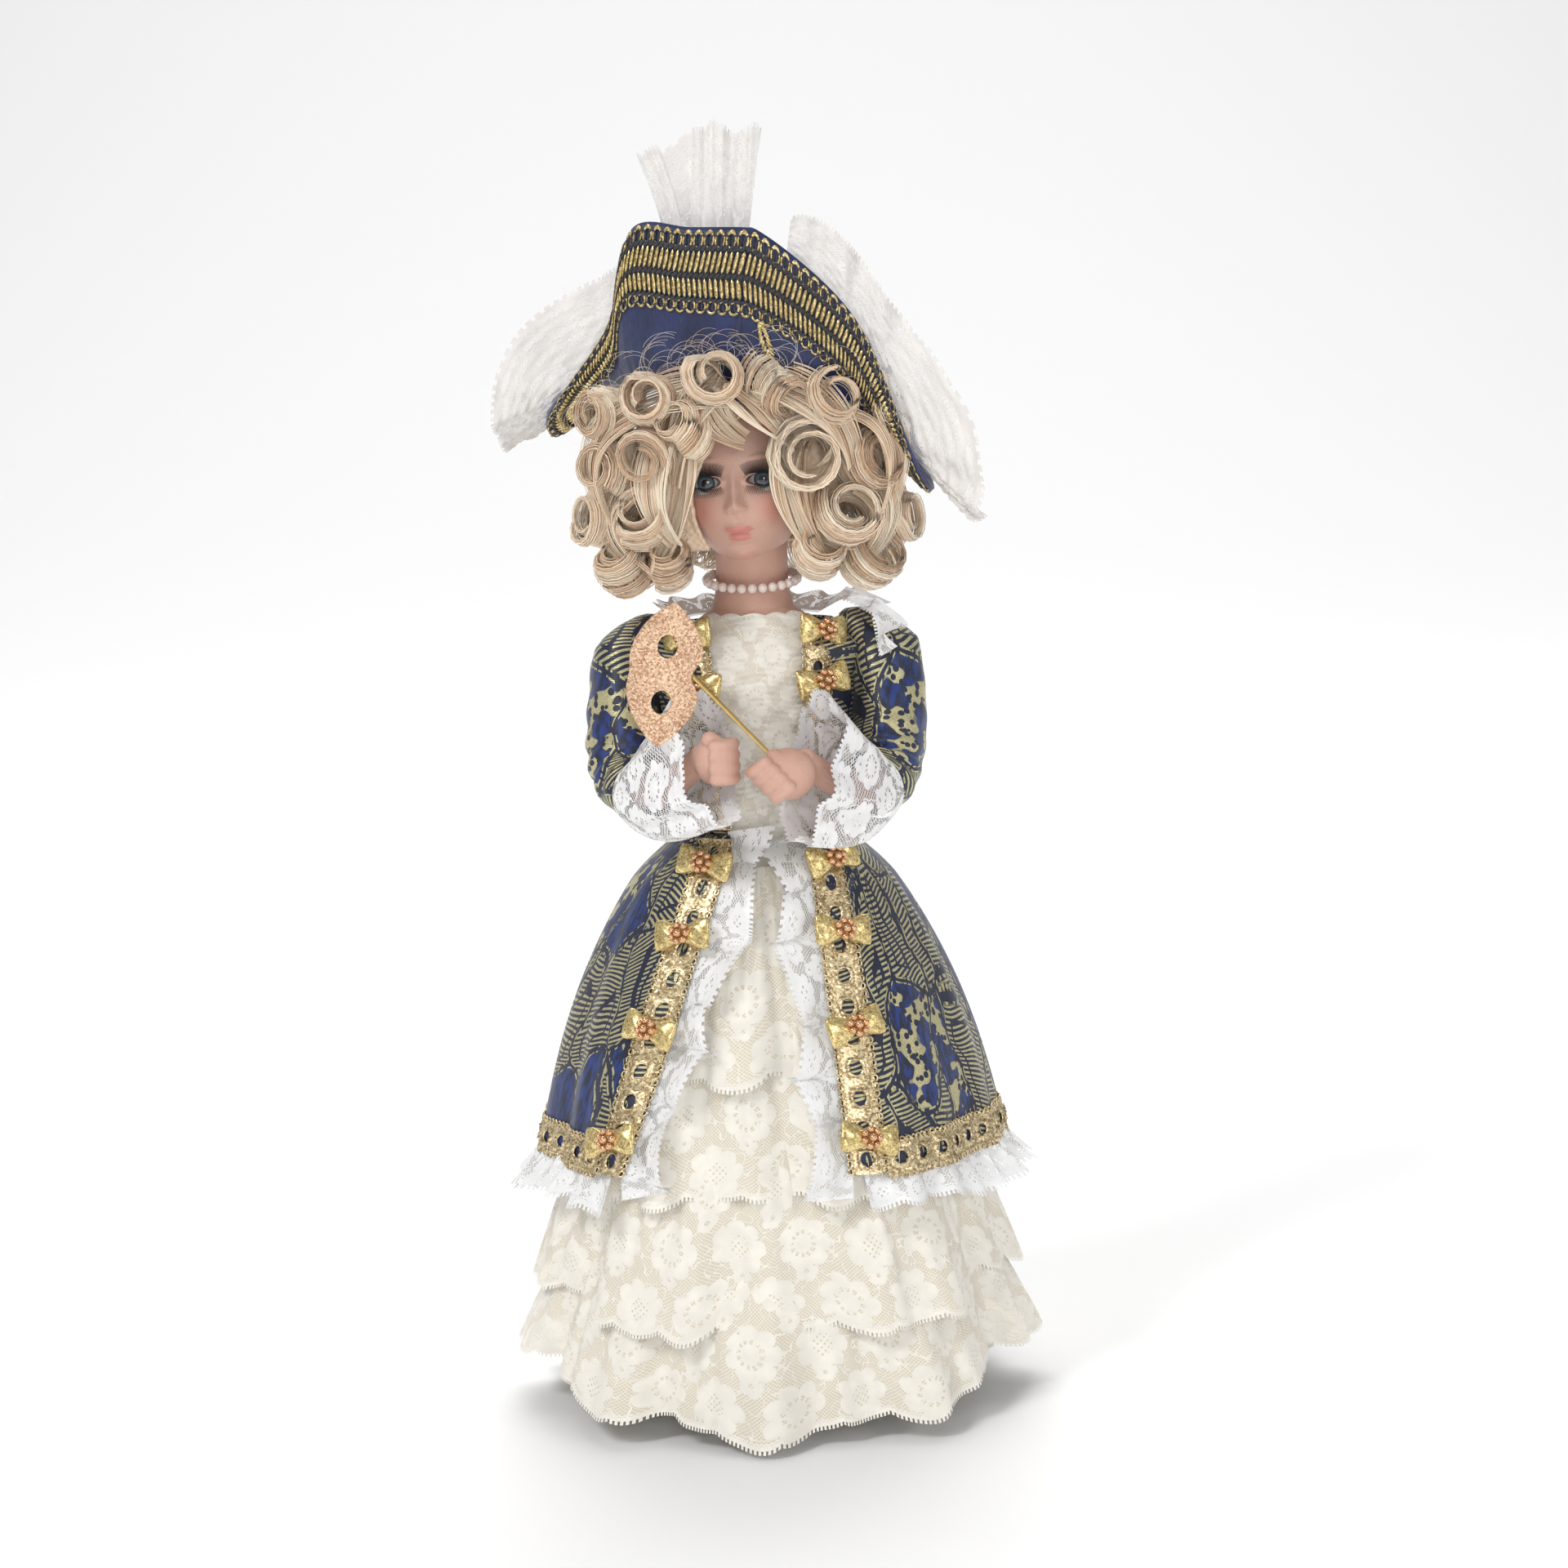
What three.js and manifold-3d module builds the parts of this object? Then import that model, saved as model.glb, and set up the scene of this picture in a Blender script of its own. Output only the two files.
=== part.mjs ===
// A porcelain collector doll in eighteenth-century court dress: a bisque head cast in one with its
// shoulder plate, bisque forearms and legs on a stuffed cloth body, glass eyes, a curled wig under a
// three-cornered hat, a brocade coat over a tiered lace skirt, and a glitter mask on a stick in its left hand.
//
// Millimetres, +Z up, the doll faces -Y. The origin is on the floor, at the middle of the skirt's hem.
// Left and right are the doll's own: its left side is +X.

import * as THREE from 'three';
import { mergeVertices } from 'three/addons/utils/BufferGeometryUtils.js';
import Module from 'manifold-3d';

const wasm = await Module();
wasm.setup();

// ---------------------------------------------------------------- driving dimensions

const CLEARANCE = 0.4; // between pieces that only lie against each other
const CLOTH = 1.0; // a layer of cloth with its folds
const SATIN = 1.2; // the lined underskirt

const WAIST_HEIGHT = 172;
const HIP_DROP = 9; // the cloth body's lower end, below the waist
const BACK_LENGTH = 57; // from the waist to the shoulder joints
const SHOULDER_RISE = 9; // from the shoulder joints to the coat's collar
const NECK_LENGTH = 14;
const FACE_RISE = 31; // from the top of the neck to the middle of the head
const PLATE_DROP = 18; // the shoulder plate's lower edge, below the shoulder joints

const HIP_HEIGHT = WAIST_HEIGHT - HIP_DROP;
const SHOULDER_HEIGHT = WAIST_HEIGHT + BACK_LENGTH;
const COLLAR_HEIGHT = SHOULDER_HEIGHT + SHOULDER_RISE;
const NECK_TOP = COLLAR_HEIGHT + NECK_LENGTH;
const HEAD_CENTRE = NECK_TOP + FACE_RISE;

const CHEST = { halfWidth: 25.2, halfDepth: 18.6 };
const HEAD_HALF = { x: 21, y: 24, z: 28.5 };
const HEAD_SHIFT = -2; // the head sits a little in front of the neck
const BISQUE_WALL = 2.2;
const NECK_RADIUS = 10.3;
const EYE_RADIUS = 5.2;
const EYE_SPREAD = 8.4;
const EYE_DROP = 3; // below the middle of the head
const HAIR_DEPTH = { x: 23, y: 14, z: 5.5 }; // of the wig, outside the head

const SLEEVE_RADIUS = 9.8;
const ARM_RADIUS = 7.4;
const WIRE_RADIUS = 0.9;
const FOREARM_RADIUS = 5.6;
const CUFF_FLARE = { wide: 22, deep: 9.5 };

const SKIRT_WAIST_RADIUS = 25;
const SKIRT_SWEEP = 43; // how much wider the bare skirt is at the floor than at the waist
const SKIRT_DEPTH_SHARE = 0.86; // front to back, against side to side
const COAT_LENGTH = 93; // below the waist
const COAT_EASE = { waist: 4.4, hem: 11.4 };
const BODICE_EASE = 2.9;
const TRIM_WIDTH = 10.5;
const TRIM_THICKNESS = 1.0;
const HEM_TRIM_HEIGHT = 11;
const TIER_LENGTH = 58;
const TIER_FLARE = 8;

const HIP_SPREAD = 14;
const THIGH_RADIUS = 9;
const SHIN_RADIUS = 6.6;
const PANTALOON_RADIUS = 12.2;
const SOLE_LENGTH = 27;

const MASK_LENGTH = 42;
const MASK_WIDTH = 23;
const MASK_THICKNESS = 1;
const STICK_RADIUS = 0.65;

const HAT_BAND_RADIUS = 27;
const HAT_PEAK_HEIGHT = 48;
const HAT_POINT_REACH = 61;
const HAT_POINT_DROP = 22;
const HAT_LACE_REACH = 18;

const COAT_HEM_HEIGHT = WAIST_HEIGHT - COAT_LENGTH;
// the arms hang clear of the bodice
const SHOULDER_SPREAD = CHEST.halfWidth + BODICE_EASE + CLOTH + CLEARANCE + SLEEVE_RADIUS;

// ---------------------------------------------------------------- making closed solids

const vec = (x, y, z) => new THREE.Vector3(x, y, z);
const mix = (a, b, t) => a + (b - a) * t;

// A solid from points and triangles, turned so that its faces point out.
function closedGeometry(points, triangles) {
  let volume = 0;
  for (let i = 0; i < triangles.length; i += 3) {
    const [a, b, c] = [0, 1, 2].map((k) => points[triangles[i + k]]);
    volume += a.dot(vec(0, 0, 0).crossVectors(b, c));
  }
  if (volume < 0) {
    for (let i = 0; i < triangles.length; i += 3) {
      [triangles[i + 1], triangles[i + 2]] = [triangles[i + 2], triangles[i + 1]];
    }
  }
  const geometry = new THREE.BufferGeometry().setFromPoints(points);
  geometry.setIndex(triangles);
  geometry.computeVertexNormals();
  return geometry;
}

function toSolid(geometry) {
  const bare = geometry.clone();
  bare.deleteAttribute('normal');
  bare.deleteAttribute('uv');
  const merged = mergeVertices(bare, 1e-4);
  return new wasm.Manifold(
    new wasm.Mesh({
      numProp: 3,
      vertProperties: new Float32Array(merged.attributes.position.array),
      triVerts: new Uint32Array(merged.index.array),
    }),
  );
}

function toGeometry(solid) {
  const mesh = solid.getMesh();
  const positions = new Float32Array(mesh.vertProperties);
  const geometry = new THREE.BufferGeometry();
  geometry.setAttribute('position', new THREE.BufferAttribute(positions, 3));
  geometry.setIndex(new THREE.BufferAttribute(new Uint32Array(mesh.triVerts), 1));
  geometry.computeVertexNormals();
  return geometry;
}

const join = (...geometries) => toGeometry(geometries.map(toSolid).reduce((a, b) => a.add(b)));
const cut = (body, ...tools) => toGeometry(tools.map(toSolid).reduce((a, b) => a.subtract(b), toSolid(body)));

// Cloth of even thickness whose middle surface is place(u, v), u and v from 0 to 1.
// A sheet that wraps closes on itself along u, as a skirt does.
function sheet(place, { columns, rows, thickness, wraps = false }) {
  const step = 1e-4;
  const acrossCount = wraps ? columns : columns + 1;
  const sides = [[], []];
  for (let j = 0; j <= rows; j++) {
    for (let i = 0; i < acrossCount; i++) {
      const u = i / columns;
      const v = j / rows;
      const middle = place(u, v);
      const u0 = wraps ? u - step : Math.max(0, u - step);
      const u1 = wraps ? u + step : Math.min(1, u + step);
      const alongU = place(u1, v).sub(place(u0, v));
      const alongV = place(u, Math.min(1, v + step)).sub(place(u, Math.max(0, v - step)));
      const normal = alongU.cross(alongV).normalize().multiplyScalar(thickness / 2);
      sides[0].push(middle.clone().add(normal));
      sides[1].push(middle.clone().sub(normal));
    }
  }
  const points = [...sides[0], ...sides[1]];
  const under = sides[0].length;
  const at = (i, j) => j * acrossCount + (wraps ? i % columns : i);
  const triangles = [];
  const quad = (a, b, c, d) => triangles.push(a, b, c, a, c, d);
  for (let j = 0; j < rows; j++) {
    for (let i = 0; i < columns; i++) {
      const corners = [at(i, j), at(i + 1, j), at(i + 1, j + 1), at(i, j + 1)];
      quad(...corners);
      quad(...corners.map((k) => k + under).reverse());
    }
  }
  for (let i = 0; i < columns; i++) {
    quad(at(i + 1, 0), at(i, 0), at(i, 0) + under, at(i + 1, 0) + under);
    quad(at(i, rows), at(i + 1, rows), at(i + 1, rows) + under, at(i, rows) + under);
  }
  if (!wraps) {
    for (let j = 0; j < rows; j++) {
      quad(at(0, j), at(0, j + 1), at(0, j + 1) + under, at(0, j) + under);
      quad(at(columns, j + 1), at(columns, j), at(columns, j) + under, at(columns, j + 1) + under);
    }
  }
  return closedGeometry(points, triangles);
}

// A solid through a row of rings: each has a centre and two half axes.
function loft(rings, around = 16) {
  const points = [];
  rings.forEach(({ centre, a, b }) => {
    for (let i = 0; i < around; i++) {
      const angle = (2 * Math.PI * i) / around;
      points.push(centre.clone().addScaledVector(a, Math.cos(angle)).addScaledVector(b, Math.sin(angle)));
    }
  });
  const triangles = [];
  for (let j = 0; j < rings.length - 1; j++) {
    for (let i = 0; i < around; i++) {
      const next = (i + 1) % around;
      const [p, q, r, s] = [j * around + i, j * around + next, (j + 1) * around + next, (j + 1) * around + i];
      triangles.push(p, q, r, p, r, s);
    }
  }
  const last = (rings.length - 1) * around;
  const first = points.push(rings[0].centre.clone()) - 1;
  const end = points.push(rings[rings.length - 1].centre.clone()) - 1;
  for (let i = 0; i < around; i++) {
    const next = (i + 1) % around;
    triangles.push(first, next, i);
    triangles.push(end, last + i, last + next);
  }
  return closedGeometry(points, triangles);
}

const levelRing = (z, halfWidth, halfDepth, y = 0, x = 0) => ({
  centre: vec(x, y, z),
  a: vec(halfWidth, 0, 0),
  b: vec(0, halfDepth, 0),
});

function ball(radius, centre, scale = vec(1, 1, 1), around = 16) {
  const geometry = new THREE.SphereGeometry(radius, around, around / 2);
  return geometry.scale(scale.x, scale.y, scale.z).translate(centre.x, centre.y, centre.z);
}

// A round bar from one point to another.
function bar(from, to, radius, around = 12) {
  const along = to.clone().sub(from);
  const geometry = new THREE.CylinderGeometry(radius, radius, along.length(), around);
  const turn = new THREE.Quaternion().setFromUnitVectors(vec(0, 1, 0), along.clone().normalize());
  const middle = from.clone().lerp(to, 0.5);
  return geometry.applyQuaternion(turn).translate(middle.x, middle.y, middle.z);
}

const doll = new THREE.Group();

function piece(name, geometry, colour, roughness, metalness = 0) {
  const material = new THREE.MeshStandardMaterial({ color: colour, roughness, metalness });
  const mesh = new THREE.Mesh(geometry, material);
  mesh.name = name;
  doll.add(mesh);
  return mesh;
}

const BISQUE = 0xe0ab98;
const WHITE_LACE = 0xf2eeea;
const IVORY_LACE = 0xefe6d2;
const BROCADE = 0x1c2748;
const NAVY_SATIN = 0x14204a;
const GOLD_TRIM = 0xb8985a;
const GOLD_RIBBON = 0xc9a24e;
const MUSLIN = 0xe8dcc4;
const BLONDE = 0xdcbd96;

// ---------------------------------------------------------------- the lines of the figure

// The upper body from hip to neck: half width and half depth at a height, outside the bisque and the muslin.
const UPPER_BODY = [
  [HIP_HEIGHT, CHEST.halfWidth - 2.2, CHEST.halfDepth + 0.4],
  [WAIST_HEIGHT, CHEST.halfWidth - 3.7, CHEST.halfDepth - 1.6],
  [mix(WAIST_HEIGHT, SHOULDER_HEIGHT, 0.5), CHEST.halfWidth - 1.2, CHEST.halfDepth + 0.2],
  [SHOULDER_HEIGHT - 13, CHEST.halfWidth, CHEST.halfDepth],
  [SHOULDER_HEIGHT, CHEST.halfWidth - 0.8, CHEST.halfDepth - 2.2],
  [COLLAR_HEIGHT - 2, mix(NECK_RADIUS, CHEST.halfWidth, 0.52), mix(NECK_RADIUS, CHEST.halfDepth, 0.37)],
  [COLLAR_HEIGHT + 3, NECK_RADIUS + 1.5, NECK_RADIUS + 0.9],
];

function upperBody(z, ease = 0) {
  const last = UPPER_BODY.length - 1;
  let k = UPPER_BODY.findIndex(([height]) => height >= z);
  if (k < 0) k = last;
  const [z0, w0, d0] = UPPER_BODY[Math.max(0, k - 1)];
  const [z1, w1, d1] = UPPER_BODY[k];
  const t = z1 > z0 ? Math.min(1, Math.max(0, (z - z0) / (z1 - z0))) : 0;
  return { halfWidth: mix(w0, w1, t) + ease, halfDepth: mix(d0, d1, t) + ease };
}

// The bare skirt: its half width at a height. Each layer hangs outside it by an ease of its own.
const skirtRadius = (z) => SKIRT_WAIST_RADIUS + SKIRT_SWEEP * Math.max(0, 1 - z / WAIST_HEIGHT) ** 0.7;

// theta is the angle round the body from the front, towards the doll's left.
function roundPoint(theta, halfWidth, halfDepth, z) {
  return vec(halfWidth * Math.sin(theta), -halfDepth * Math.cos(theta), z);
}

const skirtPoint = (theta, z, ease) => {
  const radius = skirtRadius(z) + ease;
  return roundPoint(theta, radius, radius * SKIRT_DEPTH_SHARE, z);
};

// ---------------------------------------------------------------- cloth body and legs

const PLATE_LAP = 12; // how far the shoulder plate reaches down over the cloth body
const plateBottom = SHOULDER_HEIGHT - PLATE_DROP;
const torsoInset = BISQUE_WALL + CLEARANCE;
const chestMiddle = mix(WAIST_HEIGHT, SHOULDER_HEIGHT, 0.5);
const torsoRings = [HIP_HEIGHT, WAIST_HEIGHT, chestMiddle, plateBottom - CLEARANCE].map((z) => {
  const { halfWidth, halfDepth } = upperBody(z);
  return levelRing(z, halfWidth, halfDepth);
});
[plateBottom - CLEARANCE + 0.1, plateBottom + PLATE_LAP].forEach((z) => {
  const { halfWidth, halfDepth } = upperBody(z, -torsoInset);
  torsoRings.push(levelRing(z, halfWidth, halfDepth));
});
piece('cloth_torso', loft(torsoRings), MUSLIN, 0.95);

const KNEE_HEIGHT = HIP_HEIGHT * 0.56;
const LEG_LAP = 10; // how far the cloth thigh reaches down over the top of the bisque leg
const THIGH_CLOTH = 2;

for (const [word, side] of [['left', 1], ['right', -1]]) {
  const x = side * HIP_SPREAD;
  const round = (z, radius, depth = radius, y = 0) => levelRing(z, radius, depth, y, x);
  const kneeRadius = SHIN_RADIUS + CLEARANCE + THIGH_CLOTH;
  const thigh = loft(
    [
      round(HIP_HEIGHT - CLEARANCE - 0.6, THIGH_RADIUS * 0.45),
      round(HIP_HEIGHT - 4, THIGH_RADIUS * 0.93),
      round(HIP_HEIGHT - 14, THIGH_RADIUS),
      round(KNEE_HEIGHT, kneeRadius),
      round(KNEE_HEIGHT - LEG_LAP, kneeRadius - 0.4),
    ],
    12,
  );
  const socket = loft(
    [
      round(KNEE_HEIGHT - LEG_LAP - 1, SHIN_RADIUS + CLEARANCE),
      round(KNEE_HEIGHT + 2, SHIN_RADIUS + CLEARANCE),
    ],
    12,
  );
  piece(`cloth_thigh_${word}`, cut(thigh, socket), MUSLIN, 0.95);

  const calf = KNEE_HEIGHT - LEG_LAP - 19;
  const ankle = 20;
  const shin = loft(
    [
      round(KNEE_HEIGHT + 2 - CLEARANCE, SHIN_RADIUS),
      round(KNEE_HEIGHT - LEG_LAP, SHIN_RADIUS),
      round(calf, SHIN_RADIUS + 1.6, SHIN_RADIUS + 2, 1.5),
      round(mix(ankle, calf, 0.33), SHIN_RADIUS - 1.2, SHIN_RADIUS - 0.8, 0.5),
      round(ankle, SHIN_RADIUS - 1.4, SHIN_RADIUS - 0.6),
      round(6, SHIN_RADIUS - 1.2, SHIN_RADIUS + 1.4, -1),
      round(0, SHIN_RADIUS - 1.4, SHIN_RADIUS + 1, -1),
    ],
    12,
  );
  const shoeOutline = new THREE.Shape();
  const half = SOLE_LENGTH / 2;
  shoeOutline.moveTo(-4.4, half - 5);
  shoeOutline.quadraticCurveTo(-4.4, half, 0, half);
  shoeOutline.quadraticCurveTo(4.4, half, 4.4, half - 5);
  shoeOutline.quadraticCurveTo(6.4, -half * 0.3, 4.6, -half + 6);
  shoeOutline.quadraticCurveTo(3.4, -half, 0, -half);
  shoeOutline.quadraticCurveTo(-3.4, -half, -4.6, -half + 6);
  shoeOutline.quadraticCurveTo(-6.4, -half * 0.3, -4.4, half - 5);
  const sole = new THREE.ExtrudeGeometry(shoeOutline, { depth: 6, bevelEnabled: false, curveSegments: 4 });
  const toe = ball(1, vec(x, 4 - half, 4), vec(5, 9, 5.4), 10);
  const floorCut = new THREE.BoxGeometry(60, 60, 20).translate(x, 0, -10);
  const leg = join(shin, sole.translate(x, -4.5, 0), toe);
  piece(`bisque_leg_${word}`, cut(leg, floorCut), BISQUE, 0.35);

  // a sheet that wraps starts at the middle of the front
  const pantaloon = sheet(
    (u, v) => {
      const angle = 2 * Math.PI * u;
      const radius = mix(PANTALOON_RADIUS - 1, PANTALOON_RADIUS, Math.sin(Math.PI * v));
      return vec(x + radius * Math.sin(angle), -radius * Math.cos(angle), mix(HIP_HEIGHT - 12, KNEE_HEIGHT - LEG_LAP - 7, v));
    },
    { columns: 14, rows: 3, thickness: CLOTH, wraps: true },
  );
  piece(`pantaloon_${word}`, pantaloon, WHITE_LACE, 0.9);
}

// ---------------------------------------------------------------- bisque head, eyes and crown disc

const headPose = new THREE.Matrix4()
  .makeTranslation(0, 0, NECK_TOP)
  .multiply(new THREE.Matrix4().makeRotationFromEuler(new THREE.Euler(0, -0.045, -0.12, 'ZYX')))
  .multiply(new THREE.Matrix4().makeTranslation(0, 0, -NECK_TOP));
const posed = (geometry) => geometry.applyMatrix4(headPose);

const skull = (inset) => {
  const half = vec(HEAD_HALF.x - inset, HEAD_HALF.y - inset, HEAD_HALF.z - inset);
  return ball(1, vec(0, HEAD_SHIFT, HEAD_CENTRE), half, 16);
};
// each eye is set in the head with its front level with the face
const eyeFace = HEAD_HALF.y * Math.sqrt(1 - (EYE_SPREAD / HEAD_HALF.x) ** 2 - (EYE_DROP / HEAD_HALF.z) ** 2);
const eyeCentre = (side) => vec(side * EYE_SPREAD, HEAD_SHIFT - eyeFace + EYE_RADIUS, HEAD_CENTRE - EYE_DROP);
const crownHeight = HEAD_CENTRE + HEAD_HALF.z * 0.72;
const crownRadius = HEAD_HALF.x * 0.76;
const upright = (radius, height, z, around = 18) =>
  new THREE.CylinderGeometry(radius, radius, height, around)
    .rotateX(Math.PI / 2)
    .translate(0, HEAD_SHIFT, z);

function bust(inset, bottom) {
  const heights = [bottom, plateBottom + 8, SHOULDER_HEIGHT, COLLAR_HEIGHT - 2, COLLAR_HEIGHT + 3];
  const rings = heights.map((z) => {
    const { halfWidth, halfDepth } = upperBody(z, -inset);
    return levelRing(z, halfWidth, halfDepth);
  });
  const neck = NECK_RADIUS - inset;
  rings.push(levelRing(NECK_TOP, neck, neck));
  rings.push(levelRing(NECK_TOP + 14, neck, neck, -1));
  return loft(rings, 16);
}

const EYE_GAP = 0.35;
const outerBust = join(bust(0, plateBottom), posed(skull(0)));
const innerBust = join(bust(BISQUE_WALL, plateBottom - 1), posed(skull(BISQUE_WALL)));
const crownOpening = posed(upright(crownRadius, 30, crownHeight + 15));
const eyeHoles = [1, -1].map((side) => posed(ball(EYE_RADIUS + EYE_GAP, eyeCentre(side), vec(1, 1, 1), 12)));
piece('bisque_head_and_shoulder_plate', cut(outerBust, innerBust, crownOpening, ...eyeHoles), BISQUE, 0.45);

piece('eye_left', posed(ball(EYE_RADIUS, eyeCentre(1), vec(1, 1, 1), 12)), 0x6f7f8c, 0.1);
piece('eye_right', posed(ball(EYE_RADIUS, eyeCentre(-1), vec(1, 1, 1), 12)), 0x6f7f8c, 0.1);

piece('crown_disc', posed(upright(crownRadius - CLEARANCE, 2, crownHeight + 1.5)), MUSLIN, 0.95);

// ---------------------------------------------------------------- hat

// The hat sits on the head turned a little to the doll's right and dipping to its left.
const HAT_TURN = 0.3;
const HAT_TILT = 0.16;
const HAT_BASE = crownHeight + 3;
const hatPose = new THREE.Matrix4()
  .makeTranslation(-1, -1, HAT_BASE)
  .multiply(new THREE.Matrix4().makeRotationFromEuler(new THREE.Euler(0, HAT_TILT, -HAT_TURN, 'ZYX')));
const worn = (geometry) => geometry.applyMatrix4(hatPose);

// The brim's outer edge: high and flat at the front, up to the crease where one wing starts, a point over
// each ear and one behind.
const brimEdge = new THREE.CatmullRomCurve3(
  [
    vec(-28, -31, HAT_PEAK_HEIGHT - 4),
    vec(-10, -35, HAT_PEAK_HEIGHT - 2),
    vec(7, -36, HAT_PEAK_HEIGHT),
    vec(9, -35.5, HAT_PEAK_HEIGHT),
    vec(38, -27, HAT_PEAK_HEIGHT * 0.58),
    vec(HAT_POINT_REACH - 2, -6, -HAT_POINT_DROP * 0.75),
    vec(HAT_POINT_REACH, 4, -HAT_POINT_DROP),
    vec(42, 22, HAT_PEAK_HEIGHT * 0.1),
    vec(22, 40, HAT_PEAK_HEIGHT * 0.4),
    vec(0, 52, HAT_PEAK_HEIGHT * 0.2),
    vec(-22, 40, HAT_PEAK_HEIGHT * 0.4),
    vec(-42, 22, HAT_PEAK_HEIGHT * 0.1),
    vec(-HAT_POINT_REACH + 2, 4, -HAT_POINT_DROP),
    vec(-HAT_POINT_REACH + 3, -6, -HAT_POINT_DROP * 0.75),
    vec(-34, -25, HAT_PEAK_HEIGHT * 0.33),
  ],
  true,
  'centripetal',
);

// v runs from the hat band to the edge; past 1 it goes straight on beyond the edge, this far for each 1.
const BEYOND_EDGE = 20;
function brimPoint(u, v) {
  const edge = brimEdge.getPoint(((u % 1) + 1) % 1);
  const out = vec(edge.x, edge.y, 0).normalize();
  const band = out.clone().multiplyScalar(HAT_BAND_RADIUS);
  const reach = Math.hypot(edge.x, edge.y);
  const lifted = Math.max(0, (edge.z + HAT_POINT_DROP) / (HAT_PEAK_HEIGHT + HAT_POINT_DROP));
  const bend = out.clone().multiplyScalar(mix(HAT_BAND_RADIUS, reach, mix(0.5, 0.96, lifted ** 0.5)));
  bend.z = -9;
  if (v > 1) return edge.clone().addScaledVector(edge.clone().sub(bend).normalize(), (v - 1) * BEYOND_EDGE);
  const a = (1 - v) * (1 - v);
  const b = 2 * v * (1 - v);
  return band.multiplyScalar(a).addScaledVector(bend, b).addScaledVector(edge, v * v);
}

// A sheet that lies on one face of the brim, at a distance from it: 1 is the outer face, -1 the inner one.
function besideBrim(u, v, distance) {
  const step = 1e-3;
  const across = brimPoint(u + step, v).sub(brimPoint(u - step, v));
  const along = brimPoint(u, v + step).sub(brimPoint(u, v - step));
  return brimPoint(u, v).addScaledVector(across.cross(along).normalize(), distance);
}

const BRIM_COLUMNS = 45;
const braidSpan = (v) => mix(0.72, 0.97, v);
const hatBrim = sheet(brimPoint, { columns: BRIM_COLUMNS, rows: 5, thickness: CLOTH, wraps: true });
piece('hat_brim', worn(hatBrim), NAVY_SATIN, 0.4);

const besideGap = CLOTH / 2 + 2.6 * CLEARANCE + TRIM_THICKNESS / 2;
const hatBraid = sheet((u, v) => besideBrim(u, braidSpan(v), besideGap), {
  columns: BRIM_COLUMNS,
  rows: 2,
  thickness: TRIM_THICKNESS,
  wraps: true,
});
piece('hat_gold_braid', worn(hatBraid), GOLD_TRIM, 0.35, 0.7);

// Lace stands behind the brim's edge, one length over each ear.
function hatLace(from, to) {
  return sheet(
    (u, v) => {
      const s = mix(from, to, u);
      const reach = (HAT_LACE_REACH / BEYOND_EDGE) * (0.35 + 0.65 * Math.sin(Math.PI * u) ** 0.5);
      return besideBrim(s, mix(0.84, 1 + reach, v), -besideGap - CLEARANCE);
    },
    { columns: 12, rows: 4, thickness: CLOTH },
  );
}
piece('hat_lace_left', worn(hatLace(3.4 / 15, 6.1 / 15)), WHITE_LACE, 0.9);
piece('hat_lace_right', worn(hatLace(11.9 / 15, 14.6 / 15)), WHITE_LACE, 0.9);

const PLUME_HEIGHT = 27;
const PLUME_HALF_WIDTH = 14;
const PLUME_SHIFT = -7;
const plume = sheet(
  (u, v) => {
    const side = mix(-1, 1, u);
    const spread = mix(0.85, 1.15, v) * PLUME_HALF_WIDTH;
    const root = -35 + 2 * besideGap + CLOTH;
    return vec(PLUME_SHIFT + side * spread - 3 * v, root + 4 * side * side + 3 * v, HAT_PEAK_HEIGHT - 7 + (PLUME_HEIGHT + 7) * v);
  },
  { columns: 8, rows: 4, thickness: 2 },
);
piece('hat_lace_plume', worn(plume), WHITE_LACE, 0.9);

const CROWN_HEIGHT = 20;
const crownWall = 1.4;
const crownProfile = [];
const crownSteps = 5;
for (let i = 0; i <= crownSteps; i++) {
  const angle = (Math.PI / 2) * (1 - i / crownSteps);
  crownProfile.push(new THREE.Vector2((HAT_BAND_RADIUS - 1.6) * Math.cos(angle), CROWN_HEIGHT * Math.sin(angle)));
}
for (let i = crownSteps; i >= 0; i--) {
  const angle = (Math.PI / 2) * (1 - i / crownSteps);
  const inner = HAT_BAND_RADIUS - 1.6 - crownWall;
  crownProfile.push(new THREE.Vector2(inner * Math.cos(angle), (CROWN_HEIGHT - crownWall) * Math.sin(angle)));
}
crownProfile.push(crownProfile[0].clone());
const hatCrown = new THREE.LatheGeometry(crownProfile.reverse(), 18).rotateX(Math.PI / 2).translate(0, 0, 1.2);
piece('hat_crown', worn(hatCrown), NAVY_SATIN, 0.4);

// ---------------------------------------------------------------- wig

const WIG_BOTTOM = NECK_TOP - 2;
const HAIR_GAP = 0.6;
const wigHalf = vec(HEAD_HALF.x + HAIR_DEPTH.x, HEAD_HALF.y + HAIR_DEPTH.y, HEAD_HALF.z + HAIR_DEPTH.z);
// a curl's place is given in shares of the wig's half sizes
const curl = (x, y, z, radius) =>
  ball(radius, vec(x, y, z).multiply(wigHalf).add(vec(0, HEAD_SHIFT, HEAD_CENTRE)), vec(1, 1, 1), 8);
const hair = [ball(1, vec(0, HEAD_SHIFT, HEAD_CENTRE), wigHalf, 14)];
for (const side of [-1, 1]) {
  hair.push(curl(side * 0.75, -0.42, -0.62, 14));
  hair.push(curl(side * 0.82, 0.05, -0.56, 13.5));
  hair.push(curl(side * 0.84, -0.1, 0.09, 12.5));
  hair.push(curl(side * 0.64, -0.74, 0.12, 13));
  hair.push(curl(side * 0.43, -0.9, 0.6, 9.5));
}
hair.push(curl(0, -0.95, 0.66, 9.5));
hair.push(curl(-0.23, -0.9, 0.52, 9.5));
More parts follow.
